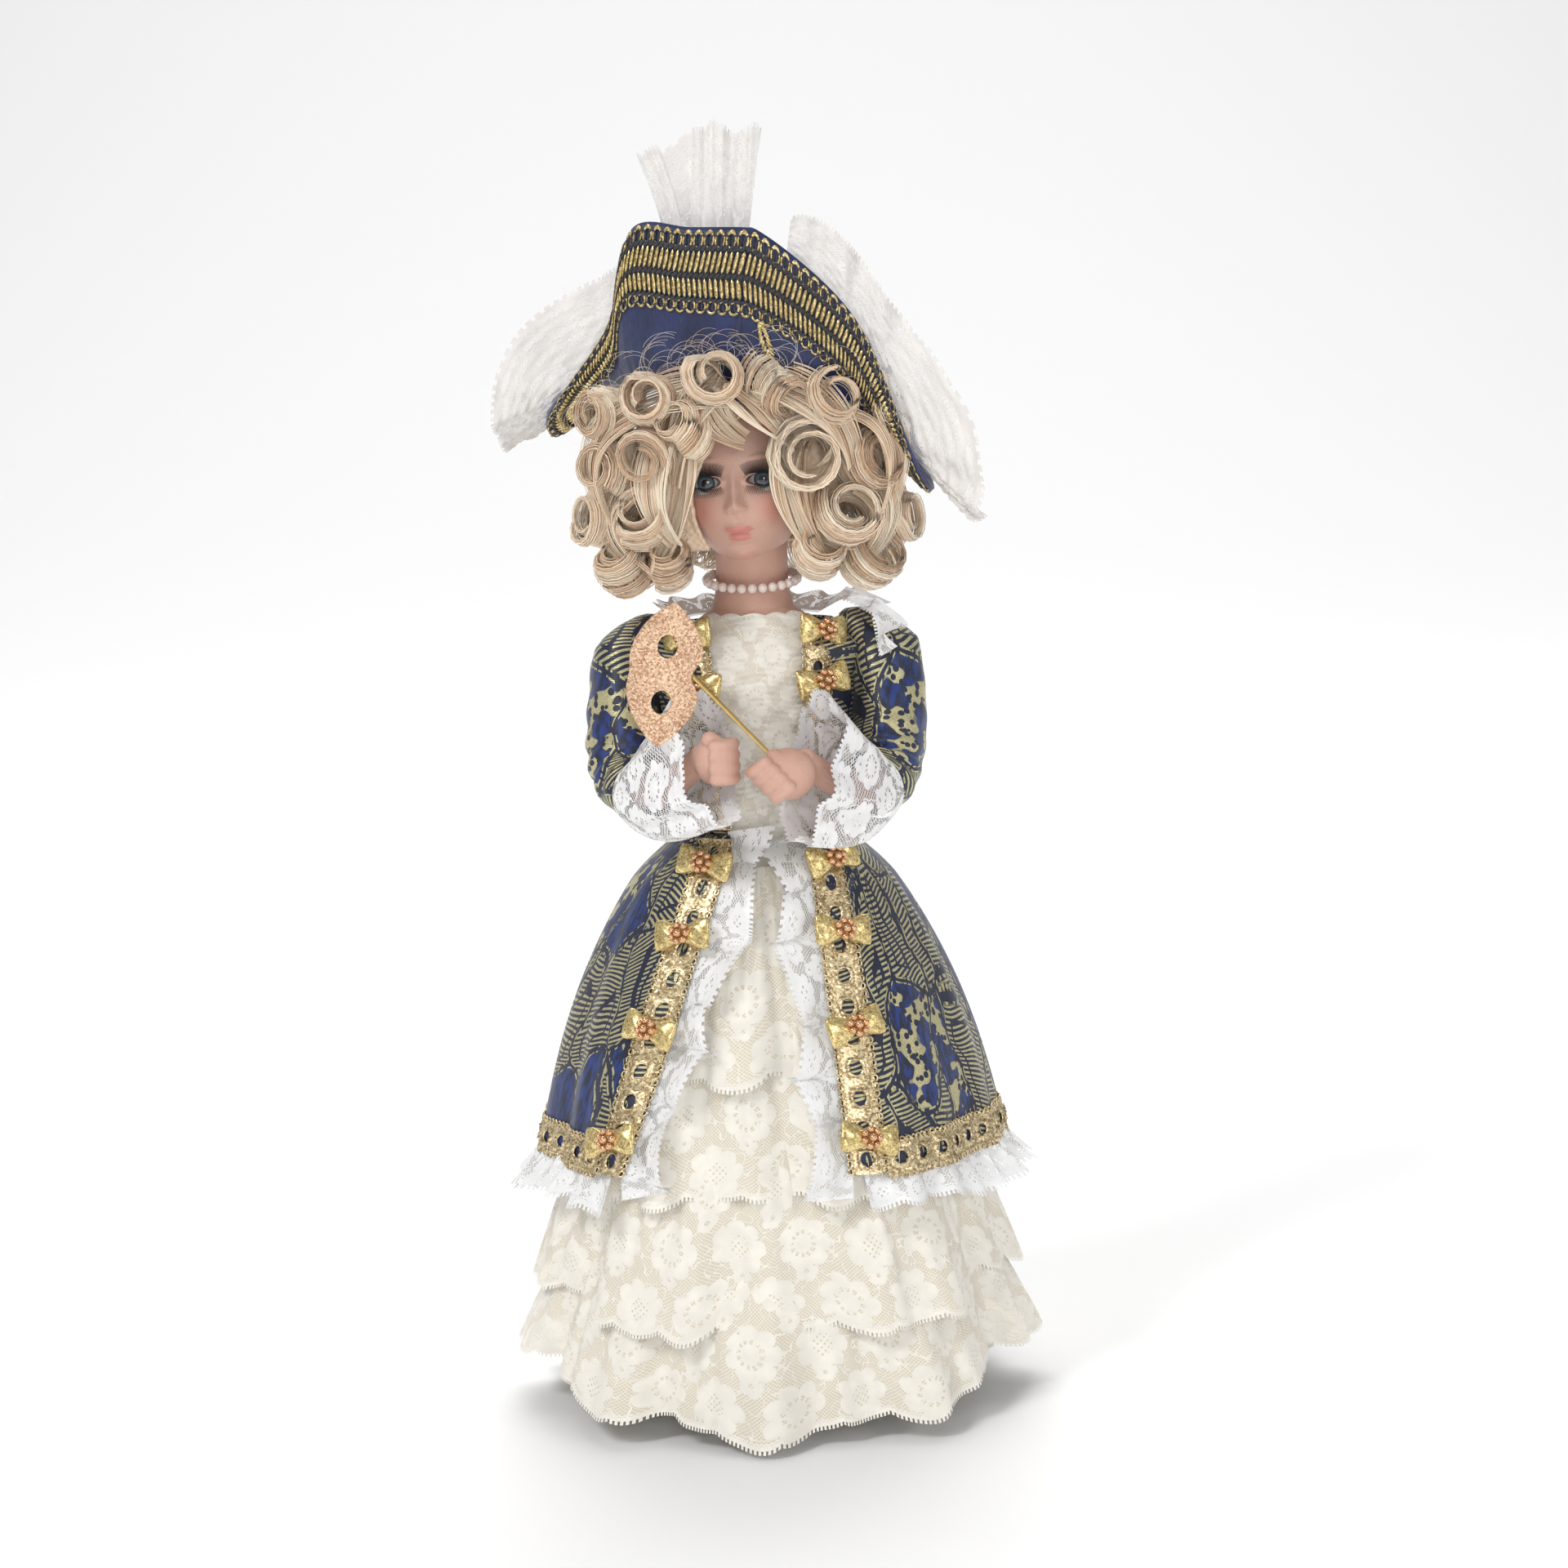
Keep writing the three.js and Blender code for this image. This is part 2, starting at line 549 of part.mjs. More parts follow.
hair.push(curl(0.23, -0.9, 0.52, 9.5));
// the room that the hat's brim takes: from its middle out to its edge
const CROWN_SHARE = 0.25;
const underHat = sheet(
  (u, v) => {
    const share = (v - CROWN_SHARE) / (1 - CROWN_SHARE);
    return share < 0 ? brimPoint(u, 0).multiplyScalar(v / CROWN_SHARE) : brimPoint(u, share);
  },
  {
    columns: BRIM_COLUMNS,
    rows: 5,
    thickness: 2 * (besideGap + TRIM_THICKNESS / 2 + 2 * CLEARANCE),
    wraps: true,
  },
);
const crownRoom = new THREE.CylinderGeometry(HAT_BAND_RADIUS + 6, HAT_BAND_RADIUS + 2, 60, 18)
  .rotateX(Math.PI / 2)
  .translate(0, 0, 28.6);
const faceWindow = loft(
  [
    { centre: vec(-1, 0, HEAD_CENTRE - 11), a: vec(12.5, 0, 0), b: vec(0, 0, 27) },
    { centre: vec(-1, -70, HEAD_CENTRE - 11), a: vec(15, 0, 0), b: vec(0, 0, 25) },
  ],
  16,
);
const wigBlock = cut(
  join(...hair),
  skull(-HAIR_GAP),
  ...[1, -1].map((side) => ball(EYE_RADIUS + HAIR_GAP, eyeCentre(side), vec(1, 1, 1), 12)),
  upright(crownRadius + CLEARANCE, 12, crownHeight + 6),
  upright(NECK_RADIUS + 6.5, 30, WIG_BOTTOM - 3, 16),
  faceWindow,
);
const belowWig = new THREE.BoxGeometry(200, 200, 60).translate(0, 0, WIG_BOTTOM - 30);
const wigPieces = toSolid(cut(posed(wigBlock), belowWig, worn(crownRoom), worn(underHat))).decompose();
const wig = wigPieces.reduce((a, b) => (a.volume() > b.volume() ? a : b));
piece('curled_wig', toGeometry(wig), BLONDE, 0.5);

// ---------------------------------------------------------------- necklace and bib

const necklace = new THREE.TorusGeometry(NECK_RADIUS + 3, 1.5, 6, 24);
necklace.scale(1.06, 1, 1).rotateX(0.16).translate(0, -0.6, COLLAR_HEIGHT + 9.4);
piece('pearl_necklace', necklace, 0xf0e4de, 0.25);

const edgeAngle = (x, halfWidth) => Math.asin(Math.max(-0.999, Math.min(0.999, x / halfWidth)));

// Where the coat's two front edges lie, across the body, at a height.
const COAT_FRONT = {
  bodiceTop: { right: -14.5, left: 15 },
  waist: { right: -9, left: 14 },
  hem: { right: -43, left: 23.5 },
};
function frontEdge(side, z) {
  const word = side < 0 ? 'right' : 'left';
  if (z >= WAIST_HEIGHT) {
    return mix(COAT_FRONT.waist[word], COAT_FRONT.bodiceTop[word], (z - WAIST_HEIGHT) / (COLLAR_HEIGHT - WAIST_HEIGHT));
  }
  return mix(COAT_FRONT.hem[word], COAT_FRONT.waist[word], (z - COAT_HEM_HEIGHT) / (WAIST_HEIGHT - COAT_HEM_HEIGHT));
}

const bodiceLine = (z, extra = 0) => upperBody(z, BODICE_EASE + extra);
const BIB_EASE = CLEARANCE + CLOTH;
const BIB_TOP = COLLAR_HEIGHT + 1;
const bib = sheet(
  (u, v) => {
    const z = mix(BIB_TOP, WAIST_HEIGHT + 4, v);
    const line = upperBody(z, BIB_EASE);
    const right = edgeAngle(frontEdge(-1, z) * mix(0.85, 1, v), line.halfWidth);
    const left = edgeAngle(frontEdge(1, z) * mix(0.85, 1, v), line.halfWidth);
    return roundPoint(mix(right, left, u), line.halfWidth, line.halfDepth, z);
  },
  { columns: 8, rows: 6, thickness: CLOTH * 0.8 },
);
piece('lace_bib', bib, IVORY_LACE, 0.95);

// ---------------------------------------------------------------- coat bodice and its lapel trim

const bodiceBottom = WAIST_HEIGHT + 3;
const BODICE_TOP = COLLAR_HEIGHT - 1;
const bodice = sheet(
  (u, v) => {
    const z = mix(BODICE_TOP, bodiceBottom, v);
    const line = bodiceLine(z);
    const right = edgeAngle(frontEdge(-1, z), line.halfWidth);
    const left = edgeAngle(frontEdge(1, z), line.halfWidth);
    return roundPoint(mix(left, 2 * Math.PI + right, u), line.halfWidth, line.halfDepth, z);
  },
  { columns: 22, rows: 6, thickness: CLOTH },
);
piece('coat_bodice', bodice, BROCADE, 0.6);

const trimLift = CLOTH / 2 + CLEARANCE + TRIM_THICKNESS / 2;
const LAPEL_LIFT = trimLift * 1.6; // more than elsewhere, for the slope over the shoulders
function lapelTrim(side) {
  return sheet(
    (u, v) => {
      const z = mix(BODICE_TOP - 1, bodiceBottom + 1, v);
      const line = bodiceLine(z, LAPEL_LIFT);
      const from = edgeAngle(frontEdge(side, z), line.halfWidth);
      const to = from + (side * TRIM_WIDTH * 0.9) / line.halfWidth;
      return roundPoint(mix(from, to, u), line.halfWidth, line.halfDepth, z);
    },
    { columns: 3, rows: 7, thickness: TRIM_THICKNESS },
  );
}
piece('lapel_trim_left', lapelTrim(1), GOLD_TRIM, 0.35, 0.7);
piece('lapel_trim_right', lapelTrim(-1), GOLD_TRIM, 0.35, 0.7);

// Gathered lace stands round the back of the neck, from one lapel to the other.
const COLLAR_LACE_REACH = 10;
const COLLAR_LACE_ENDS = 0.85; // the angle from the middle of the front at which it starts and ends
const collarLace = sheet(
  (u, v) => {
    const line = bodiceLine(BODICE_TOP, COLLAR_LACE_REACH * v + 0.5);
    const theta = mix(COLLAR_LACE_ENDS, 2 * Math.PI - COLLAR_LACE_ENDS, u);
    return roundPoint(theta, line.halfWidth, line.halfDepth, BODICE_TOP + CLOTH + CLEARANCE + 4.5 * v);
  },
  { columns: 18, rows: 2, thickness: CLOTH },
);
piece('collar_lace', collarLace, WHITE_LACE, 0.9);

// ---------------------------------------------------------------- skirts

const SKIRT_COLUMNS = 26;

// One gathered tier: it is sewn on at its top and stands away from the skirt towards its hem.
function tier(top, hem, seamEase, hemEase) {
  return sheet((u, v) => skirtPoint(2 * Math.PI * u, mix(top, hem, v), mix(seamEase, hemEase, v)), {
    columns: SKIRT_COLUMNS,
    rows: 2,
    thickness: CLOTH,
    wraps: true,
  });
}

const UNDERSKIRT_HEM = 13;
const underskirt = sheet(
  (u, v) => skirtPoint(2 * Math.PI * u, mix(WAIST_HEIGHT, UNDERSKIRT_HEM, v ** 1.6), 0),
  { columns: SKIRT_COLUMNS, rows: 5, thickness: SATIN, wraps: true },
);
piece('satin_underskirt', underskirt, 0xe6dcc6, 0.5);

const SEAM_EASE = SATIN / 2 + CLOTH / 2 + CLEARANCE + 0.4;
const TIER_STEP = (WAIST_HEIGHT - 12) / 4;
['lace_tier_bottom', 'lace_tier_second', 'lace_tier_third', 'lace_tier_top'].forEach((name, k) => {
  const top = Math.min(TIER_STEP * (k + 1) + 8, WAIST_HEIGHT - 6);
  const hem = Math.max(top - TIER_LENGTH, CLOTH / 2);
  const flare = k === 0 ? TIER_FLARE + 3 : TIER_FLARE;
  piece(name, tier(top, hem, SEAM_EASE, SEAM_EASE + flare), IVORY_LACE, 0.9);
});

// The coat's skirt hangs outside all of them.
const coatEase = (z) => {
  const share = Math.max(0, Math.min(1, (WAIST_HEIGHT - z) / (WAIST_HEIGHT - COAT_HEM_HEIGHT)));
  return COAT_EASE.waist + COAT_EASE.hem * share ** 0.8;
};
const coatPoint = (theta, z, extra = 0) => skirtPoint(theta, z, coatEase(z) + extra);
const coatEdgeAngle = (side, z) => edgeAngle(frontEdge(side, z), skirtRadius(z) + coatEase(z));

const coatSkirt = sheet(
  (u, v) => {
    const z = mix(WAIST_HEIGHT, COAT_HEM_HEIGHT, v);
    return coatPoint(mix(coatEdgeAngle(1, z), 2 * Math.PI + coatEdgeAngle(-1, z), u), z);
  },
  { columns: SKIRT_COLUMNS, rows: 6, thickness: CLOTH },
);
piece('coat_skirt', coatSkirt, BROCADE, 0.6);

const trimAngle = (z) => TRIM_WIDTH / (skirtRadius(z) + coatEase(z));
function frontTrim(side) {
  return sheet(
    (u, v) => {
      const z = mix(WAIST_HEIGHT - 1.5, COAT_HEM_HEIGHT, v);
      return coatPoint(coatEdgeAngle(side, z) + side * trimAngle(z) * u, z, trimLift);
    },
    { columns: 3, rows: 7, thickness: TRIM_THICKNESS },
  );
}
piece('coat_front_trim_left', frontTrim(1), GOLD_TRIM, 0.35, 0.7);
piece('coat_front_trim_right', frontTrim(-1), GOLD_TRIM, 0.35, 0.7);

// how far the middle of one of the coat's flat facets lies inside its round
const facetSag = (z) => (skirtRadius(z) + coatEase(z)) * (1 - Math.cos(Math.PI / SKIRT_COLUMNS));
const hemTrim = sheet(
  (u, v) => {
    const z = mix(COAT_HEM_HEIGHT + HEM_TRIM_HEIGHT, COAT_HEM_HEIGHT, v);
    const gap = CLEARANCE / skirtRadius(z);
    const from = coatEdgeAngle(1, z) + trimAngle(z) + gap;
    const to = 2 * Math.PI + coatEdgeAngle(-1, z) - trimAngle(z) - gap;
    return coatPoint(mix(from, to, u), z, trimLift + facetSag(z));
  },
  { columns: SKIRT_COLUMNS, rows: 1, thickness: TRIM_THICKNESS },
);
piece('coat_hem_trim', hemTrim, GOLD_TRIM, 0.35, 0.7);

// White lace runs down inside each front edge of the coat, and round under its hem.
const LACE_EDGE_WIDTH = 12;
const laceInset = -(CLOTH + 1.5 * CLEARANCE);
function frontLace(side) {
  return sheet(
    (u, v) => {
      const z = mix(WAIST_HEIGHT - 14, COAT_HEM_HEIGHT, v);
      const width = Math.min(LACE_EDGE_WIDTH / (skirtRadius(z) + coatEase(z)), Math.abs(coatEdgeAngle(side, z)) * 0.9);
      return coatPoint(coatEdgeAngle(side, z) + side * mix(0.05, -width, u), z, laceInset);
    },
    { columns: 3, rows: 7, thickness: CLOTH * 0.8 },
  );
}
piece('coat_front_lace_left', frontLace(1), WHITE_LACE, 0.9);
piece('coat_front_lace_right', frontLace(-1), WHITE_LACE, 0.9);

const HEM_LACE_DROP = 11;
const hemLace = sheet(
  (u, v) => {
    const z = mix(COAT_HEM_HEIGHT + 5, COAT_HEM_HEIGHT - HEM_LACE_DROP, v);
    const onHeight = Math.max(z, COAT_HEM_HEIGHT);
    const from = coatEdgeAngle(1, COAT_HEM_HEIGHT) + 0.1;
    const to = 2 * Math.PI + coatEdgeAngle(-1, COAT_HEM_HEIGHT) - 0.1;
    const radius = skirtRadius(onHeight) + coatEase(onHeight) + laceInset - CLEARANCE + (onHeight - z) * 0.45;
    return roundPoint(mix(from, to, u), radius, radius * SKIRT_DEPTH_SHARE, z);
  },
  { columns: SKIRT_COLUMNS, rows: 2, thickness: CLOTH * 0.8 },
);
piece('coat_hem_lace', hemLace, WHITE_LACE, 0.9);

// ---------------------------------------------------------------- arms

// Each arm follows one flat curve from the shoulder, round the elbow, to the wrist in front of the waist.
const HAND_HEIGHT = SHOULDER_HEIGHT - 33;
const LEFT_WRIST = vec(17, -39, HAND_HEIGHT);
const RIGHT_WRIST = vec(-19, -37, HAND_HEIGHT + 2);

function armCurve(side, wrist) {
  const shoulder = vec(side * SHOULDER_SPREAD, 0, SHOULDER_HEIGHT);
  const corner = vec(side * (SHOULDER_SPREAD + 7), -11, SHOULDER_HEIGHT - 54);
  const curve = new THREE.CubicBezierCurve3(
    shoulder,
    shoulder.clone().lerp(corner, 0.8),
    wrist.clone().lerp(corner, 0.72),
    wrist,
  );
  const across = corner.clone().sub(shoulder).cross(wrist.clone().sub(corner)).normalize();
  if (across.y < 0) across.negate();
  return { curve, across, shoulder };
}

// Rings along an arm. wide is measured in the plane of the arm, deep across it.
function armRing(arm, t, wide, deep = wide) {
  const inside = Math.max(0, Math.min(1, t));
  const tangent = arm.curve.getTangent(inside);
  const centre = arm.curve.getPoint(inside).addScaledVector(tangent, (t - inside) * 70);
  return {
    centre,
    a: arm.across.clone().multiplyScalar(deep),
    b: tangent.cross(arm.across).normalize().multiplyScalar(wide),
  };
}

function tubeSheet(arm, sections, { columns, rows, thickness }) {
  return sheet(
    (u, v) => {
      const k = Math.min(sections.length - 2, Math.floor(v * (sections.length - 1)));
      const share = v * (sections.length - 1) - k;
      const [t, wide, deep] = [0, 1, 2].map((n) => mix(sections[k][n], sections[k + 1][n], share));
      const ring = armRing(arm, t, wide, deep);
      const angle = 2 * Math.PI * u;
      return ring.centre.addScaledVector(ring.a, Math.cos(angle)).addScaledVector(ring.b, Math.sin(angle));
    },
    { columns, rows, thickness, wraps: true },
  );
}

const ELBOW = 0.56; // where along the arm the cloth ends and the bisque begins
const SLEEVE_END = 0.66;
const CUFF_START = 0.6; // the cuff is sewn round the outside of the sleeve's end
const CUFF_END = 0.93;

function arm(word, side, wrist) {
  const line = armCurve(side, wrist);
  const wireEnd = ELBOW - 0.04;
  const wireRings = (radius, from, to) =>
    [0, 1, 2, 3, 4, 5].map((k) => armRing(line, mix(from, to, k / 5), radius));

  const cloth = loft(
    [
      armRing(line, -0.09, ARM_RADIUS * 0.45),
      armRing(line, 0, ARM_RADIUS * 0.9),
      armRing(line, 0.16, ARM_RADIUS),
      armRing(line, 0.34, ARM_RADIUS),
      armRing(line, 0.46, ARM_RADIUS * 0.95),
      armRing(line, ELBOW - 0.01, ARM_RADIUS * 0.85),
    ],
    12,
  );
  const wireRoom = loft(wireRings(WIRE_RADIUS + CLEARANCE, -0.02, 0.62), 8);
  piece(`cloth_upper_arm_${word}`, cut(cloth, wireRoom), MUSLIN, 0.95);
  piece(`arm_wire_${word}`, loft(wireRings(WIRE_RADIUS, 0, wireEnd), 8), 0x8a8d92, 0.3, 1);

  const last = 1.11;
  const forearm = loft(
    [
      armRing(line, ELBOW, FOREARM_RADIUS * 0.95),
      armRing(line, mix(ELBOW, last, 0.3), FOREARM_RADIUS),
      armRing(line, mix(ELBOW, last, 0.6), FOREARM_RADIUS * 0.88),
      armRing(line, 0.97, FOREARM_RADIUS * 0.76),
      armRing(line, last, FOREARM_RADIUS * 0.8),
    ],
    12,
  );

  const sleeve = tubeSheet(
    line,
    [
      [-0.15, 3, 3],
      [-0.1, SLEEVE_RADIUS * 0.72, SLEEVE_RADIUS * 0.72],
      [0, SLEEVE_RADIUS, SLEEVE_RADIUS],
      [0.18, SLEEVE_RADIUS, SLEEVE_RADIUS],
      [0.36, SLEEVE_RADIUS, SLEEVE_RADIUS],
      [0.5, SLEEVE_RADIUS, SLEEVE_RADIUS],
      [SLEEVE_END, SLEEVE_RADIUS * 0.84, SLEEVE_RADIUS * 0.84],
    ],
    { columns: 12, rows: 7, thickness: CLOTH },
  );
  piece(`coat_sleeve_${word}`, sleeve, BROCADE, 0.6);
  return { line, forearm };
}

function cuff(word, line) {
  const start = SLEEVE_RADIUS + CLOTH + CLEARANCE;
  const shape = tubeSheet(
    line,
    [
      [CUFF_START, start, start],
      [mix(CUFF_START, CUFF_END, 0.4), mix(start, CUFF_FLARE.wide, 0.45), start],
      [CUFF_END, CUFF_FLARE.wide, CUFF_FLARE.deep],
    ],
    { columns: 16, rows: 3, thickness: CLOTH },
  );
  piece(`lace_cuff_${word}`, shape, WHITE_LACE, 0.9);
}

const leftArm = arm('left', 1, LEFT_WRIST);
const rightArm = arm('right', -1, RIGHT_WRIST);
cuff('left', leftArm.line);
cuff('right', rightArm.line);

// ---------------------------------------------------------------- hands, mask and stick

const LEFT_FIST = LEFT_WRIST.clone().add(vec(-9.5, -8, 1));
const RIGHT_FIST = RIGHT_WRIST.clone().add(vec(8.2, -6.5, 3));
const STICK_FOOT = LEFT_FIST.clone().add(vec(-1.5, -1.2, 3));
const STICK_HEAD = STICK_FOOT.clone().add(vec(-27, 4.7, 29));

const stickDirection = STICK_HEAD.clone().sub(STICK_FOOT).normalize();
const stickHole = bar(
  STICK_FOOT.clone().addScaledVector(stickDirection, -CLEARANCE - 0.3),
  STICK_FOOT.clone().addScaledVector(stickDirection, 30),
  STICK_RADIUS + CLEARANCE,
  8,
);
const leftHand = join(
  leftArm.forearm,
  ball(1, LEFT_FIST, vec(9.2, 7.6, 9), 14),
  ball(1, LEFT_FIST.clone().add(vec(-4, -3, 5.2)), vec(4.4, 3.2, 3), 8),
);
piece('bisque_forearm_left', cut(leftHand, stickHole), BISQUE, 0.45);

const rightHand = join(
  rightArm.forearm,
  ball(1, RIGHT_FIST, vec(6.8, 6.4, 8.8), 14),
);
piece('bisque_forearm_right', rightHand, BISQUE, 0.45);

piece('mask_stick', bar(STICK_FOOT, STICK_HEAD, STICK_RADIUS, 8), GOLD_RIBBON, 0.3, 0.9);

const halfMask = MASK_LENGTH / 2;
const halfMaskWidth = MASK_WIDTH / 2;
const maskOutline = new THREE.Shape();
maskOutline.moveTo(-halfMask, 0);
maskOutline.splineThru([
  new THREE.Vector2(-halfMask * 0.72, halfMaskWidth * 0.74),
  new THREE.Vector2(-halfMask * 0.36, halfMaskWidth),
  new THREE.Vector2(0, halfMaskWidth * 0.8),
  new THREE.Vector2(halfMask * 0.36, halfMaskWidth),
  new THREE.Vector2(halfMask * 0.72, halfMaskWidth * 0.74),
  new THREE.Vector2(halfMask, 0),
]);
maskOutline.splineThru([
  new THREE.Vector2(halfMask * 0.72, -halfMaskWidth * 0.78),
  new THREE.Vector2(halfMask * 0.36, -halfMaskWidth),
  new THREE.Vector2(halfMask * 0.13, -halfMaskWidth * 0.76),
  new THREE.Vector2(0, -halfMaskWidth * 0.5),
  new THREE.Vector2(-halfMask * 0.13, -halfMaskWidth * 0.76),
  new THREE.Vector2(-halfMask * 0.36, -halfMaskWidth),
  new THREE.Vector2(-halfMask * 0.72, -halfMaskWidth * 0.78),
  new THREE.Vector2(-halfMask, 0),
]);
const MASK_CENTRE = STICK_HEAD.clone().add(vec(-4.5, -2.9, -2.5));
const maskBlank = new THREE.ExtrudeGeometry(maskOutline, {
  depth: MASK_THICKNESS,
  bevelEnabled: false,
  curveSegments: 3,
});
maskBlank.translate(0, 0, -MASK_THICKNESS / 2);
const maskEyeHoles = [-1, 1].map((side) => {
  const hole = new THREE.CylinderGeometry(1, 1, MASK_THICKNESS * 4, 10).rotateX(Math.PI / 2);
  return hole.scale(MASK_LENGTH * 0.08, MASK_WIDTH * 0.12, 1).translate(side * MASK_LENGTH * 0.19, -0.4, 0);
});
const mask = cut(maskBlank, ...maskEyeHoles);
// stood upright, its nose notch to the doll's left, and turned to lie along the stick
mask.rotateX(Math.PI / 2).rotateY(-Math.PI / 2 + 0.16).rotateZ(0.1).rotateX(0.08);
mask.translate(MASK_CENTRE.x, MASK_CENTRE.y, MASK_CENTRE.z);
piece('glitter_mask', mask, 0xcfa37a, 0.5, 0.4);

// ---------------------------------------------------------------- bows

// A flat ribbon bow with a round of beads sewn on its knot.
const BOW_HALF = 8.5;
const BOW_THICKNESS = 2;
const BEAD_ROUND_RADIUS = 4.3;
const BOW_LIFT = TRIM_THICKNESS + CLEARANCE + 1.4;

function bowGeometry() {
  const outline = new THREE.Shape();
  outline.moveTo(-BOW_HALF, -3.6);
  outline.quadraticCurveTo(-BOW_HALF - 0.6, 0, -BOW_HALF, 3.6);
  outline.lineTo(-2, 1.8);
  outline.lineTo(2, 1.8);
  outline.lineTo(BOW_HALF, 3.6);
  outline.quadraticCurveTo(BOW_HALF + 0.6, 0, BOW_HALF, -3.6);
  outline.lineTo(2, -1.8);
  outline.lineTo(-2, -1.8);
  const ribbon = new THREE.ExtrudeGeometry(outline, { depth: BOW_THICKNESS, bevelEnabled: false, curveSegments: 2 });
  const beads = new THREE.CylinderGeometry(BEAD_ROUND_RADIUS, BEAD_ROUND_RADIUS, 2.4, 10).rotateX(Math.PI / 2);
  return join(ribbon, beads.translate(0, 0, BOW_THICKNESS + 1));
}

// The bow's own +Z is its front. It is stood on the body with that front turned out and its ends level.
function placeBow(name, at, outward, lean) {
  const front = outward.clone().normalize();
  const level = vec(0, 0, 1).cross(front).normalize();
  const up = front.clone().cross(level);
  const turn = new THREE.Matrix4().makeBasis(level, up, front);
  const geometry = bowGeometry().rotateZ(lean).applyMatrix4(turn).translate(at.x, at.y, at.z);
  piece(name, geometry, GOLD_RIBBON, 0.35, 0.6);
}

function outwardAt(theta, halfWidth, halfDepth) {
  return vec(Math.sin(theta) / halfWidth, -Math.cos(theta) / halfDepth, 0);
}

const BODICE_BOWS = [COLLAR_HEIGHT - 3.5, SHOULDER_HEIGHT - 9];
const SKIRT_BOWS = [0.05, 0.26, 0.55, 0.89].map((share) => WAIST_HEIGHT - COAT_LENGTH * share);
for (const [word, side] of [['left', 1], ['right', -1]]) {
  BODICE_BOWS.forEach((z, k) => {
    const line = bodiceLine(z, LAPEL_LIFT + BOW_LIFT);
    const theta = edgeAngle(frontEdge(side, z) + side * TRIM_WIDTH * 0.42, line.halfWidth);
    const at = roundPoint(theta, line.halfWidth, line.halfDepth, z);
    placeBow(`bow_${word}_${k + 1}`, at, outwardAt(theta, line.halfWidth, line.halfDepth), side * 0.12);
  });
  SKIRT_BOWS.forEach((z, k) => {
    const radius = skirtRadius(z) + coatEase(z);
    const theta = coatEdgeAngle(side, z) + side * trimAngle(z) * 0.5;
    const at = coatPoint(theta, z, trimLift + BOW_LIFT);
    placeBow(`bow_${word}_${k + 3}`, at, outwardAt(theta, radius, radius * SKIRT_DEPTH_SHARE), -side * 0.12);
  });
}

export default doll;
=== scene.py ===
import math

import bpy
import numpy as np
from mathutils import Matrix, Vector


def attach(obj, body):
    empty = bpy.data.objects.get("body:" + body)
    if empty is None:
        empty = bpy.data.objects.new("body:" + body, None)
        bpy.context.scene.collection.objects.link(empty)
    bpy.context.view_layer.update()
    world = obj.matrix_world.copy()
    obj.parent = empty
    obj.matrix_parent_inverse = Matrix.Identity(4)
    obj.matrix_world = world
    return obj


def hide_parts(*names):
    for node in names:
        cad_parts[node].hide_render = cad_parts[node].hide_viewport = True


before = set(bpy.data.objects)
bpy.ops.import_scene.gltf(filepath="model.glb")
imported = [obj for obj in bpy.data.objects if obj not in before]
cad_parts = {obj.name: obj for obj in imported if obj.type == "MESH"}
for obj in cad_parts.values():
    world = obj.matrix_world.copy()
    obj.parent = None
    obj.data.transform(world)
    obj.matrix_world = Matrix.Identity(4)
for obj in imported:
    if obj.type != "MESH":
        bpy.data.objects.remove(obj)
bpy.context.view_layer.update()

# The doll stands on a sheet of pale paper that curves up behind it, under wide soft lamps, and is looked at
# from the front and a little above, with the camera tipped a touch to one side.
bpy.ops.object.select_all(action="DESELECT")
bpy.ops.mesh.primitive_grid_add(x_subdivisions=2, y_subdivisions=60, size=2)
paper = bpy.context.active_object
paper.name = "paper_sweep"
PAPER_LENGTH, PAPER_HALF_WIDTH, PAPER_FRONT, FLAT_LENGTH, BEND_RADIUS = 9, 8, -3, 5, 2
for corner in paper.data.vertices:
    run = (corner.co.y + 1) / 2 * PAPER_LENGTH
    bend = min(max(run - FLAT_LENGTH, 0) / BEND_RADIUS, math.pi / 2)
    rise = max(run - FLAT_LENGTH - BEND_RADIUS * math.pi / 2, 0)
    back = PAPER_FRONT + min(run, FLAT_LENGTH) + BEND_RADIUS * math.sin(bend)
    corner.co = (corner.co.x * PAPER_HALF_WIDTH, back, BEND_RADIUS * (1 - math.cos(bend)) + rise)
for face in paper.data.polygons:
    face.use_smooth = True

white_paper = bpy.data.materials.new("white_paper")
white_paper.use_nodes = True
paper_shader = white_paper.node_tree.nodes["Principled BSDF"]
paper_shader.inputs["Base Color"].default_value = (0.93, 0.93, 0.93, 1)
paper_shader.inputs["Roughness"].default_value = 0.9
paper.data.materials.append(white_paper)

daylight = bpy.data.worlds.new("daylight")
daylight.use_nodes = True
daylight.node_tree.nodes["Background"].inputs["Color"].default_value = (1, 1, 1, 1)
daylight.node_tree.nodes["Background"].inputs["Strength"].default_value = 0.36
bpy.context.scene.world = daylight
bpy.context.scene.view_settings.view_transform = "Standard"

LOOK_AT = Vector((0.0074, 0, 0.187))


def hang_lamp(name, place, power, size):
    lamp_data = bpy.data.lights.new(name, "AREA")
    lamp_data.energy = power
    lamp_data.size = size
    lamp = bpy.data.objects.new(name, lamp_data)
    lamp.location = place
    lamp.rotation_euler = (LOOK_AT - Vector(place)).to_track_quat("-Z", "Y").to_euler()
    bpy.context.collection.objects.link(lamp)


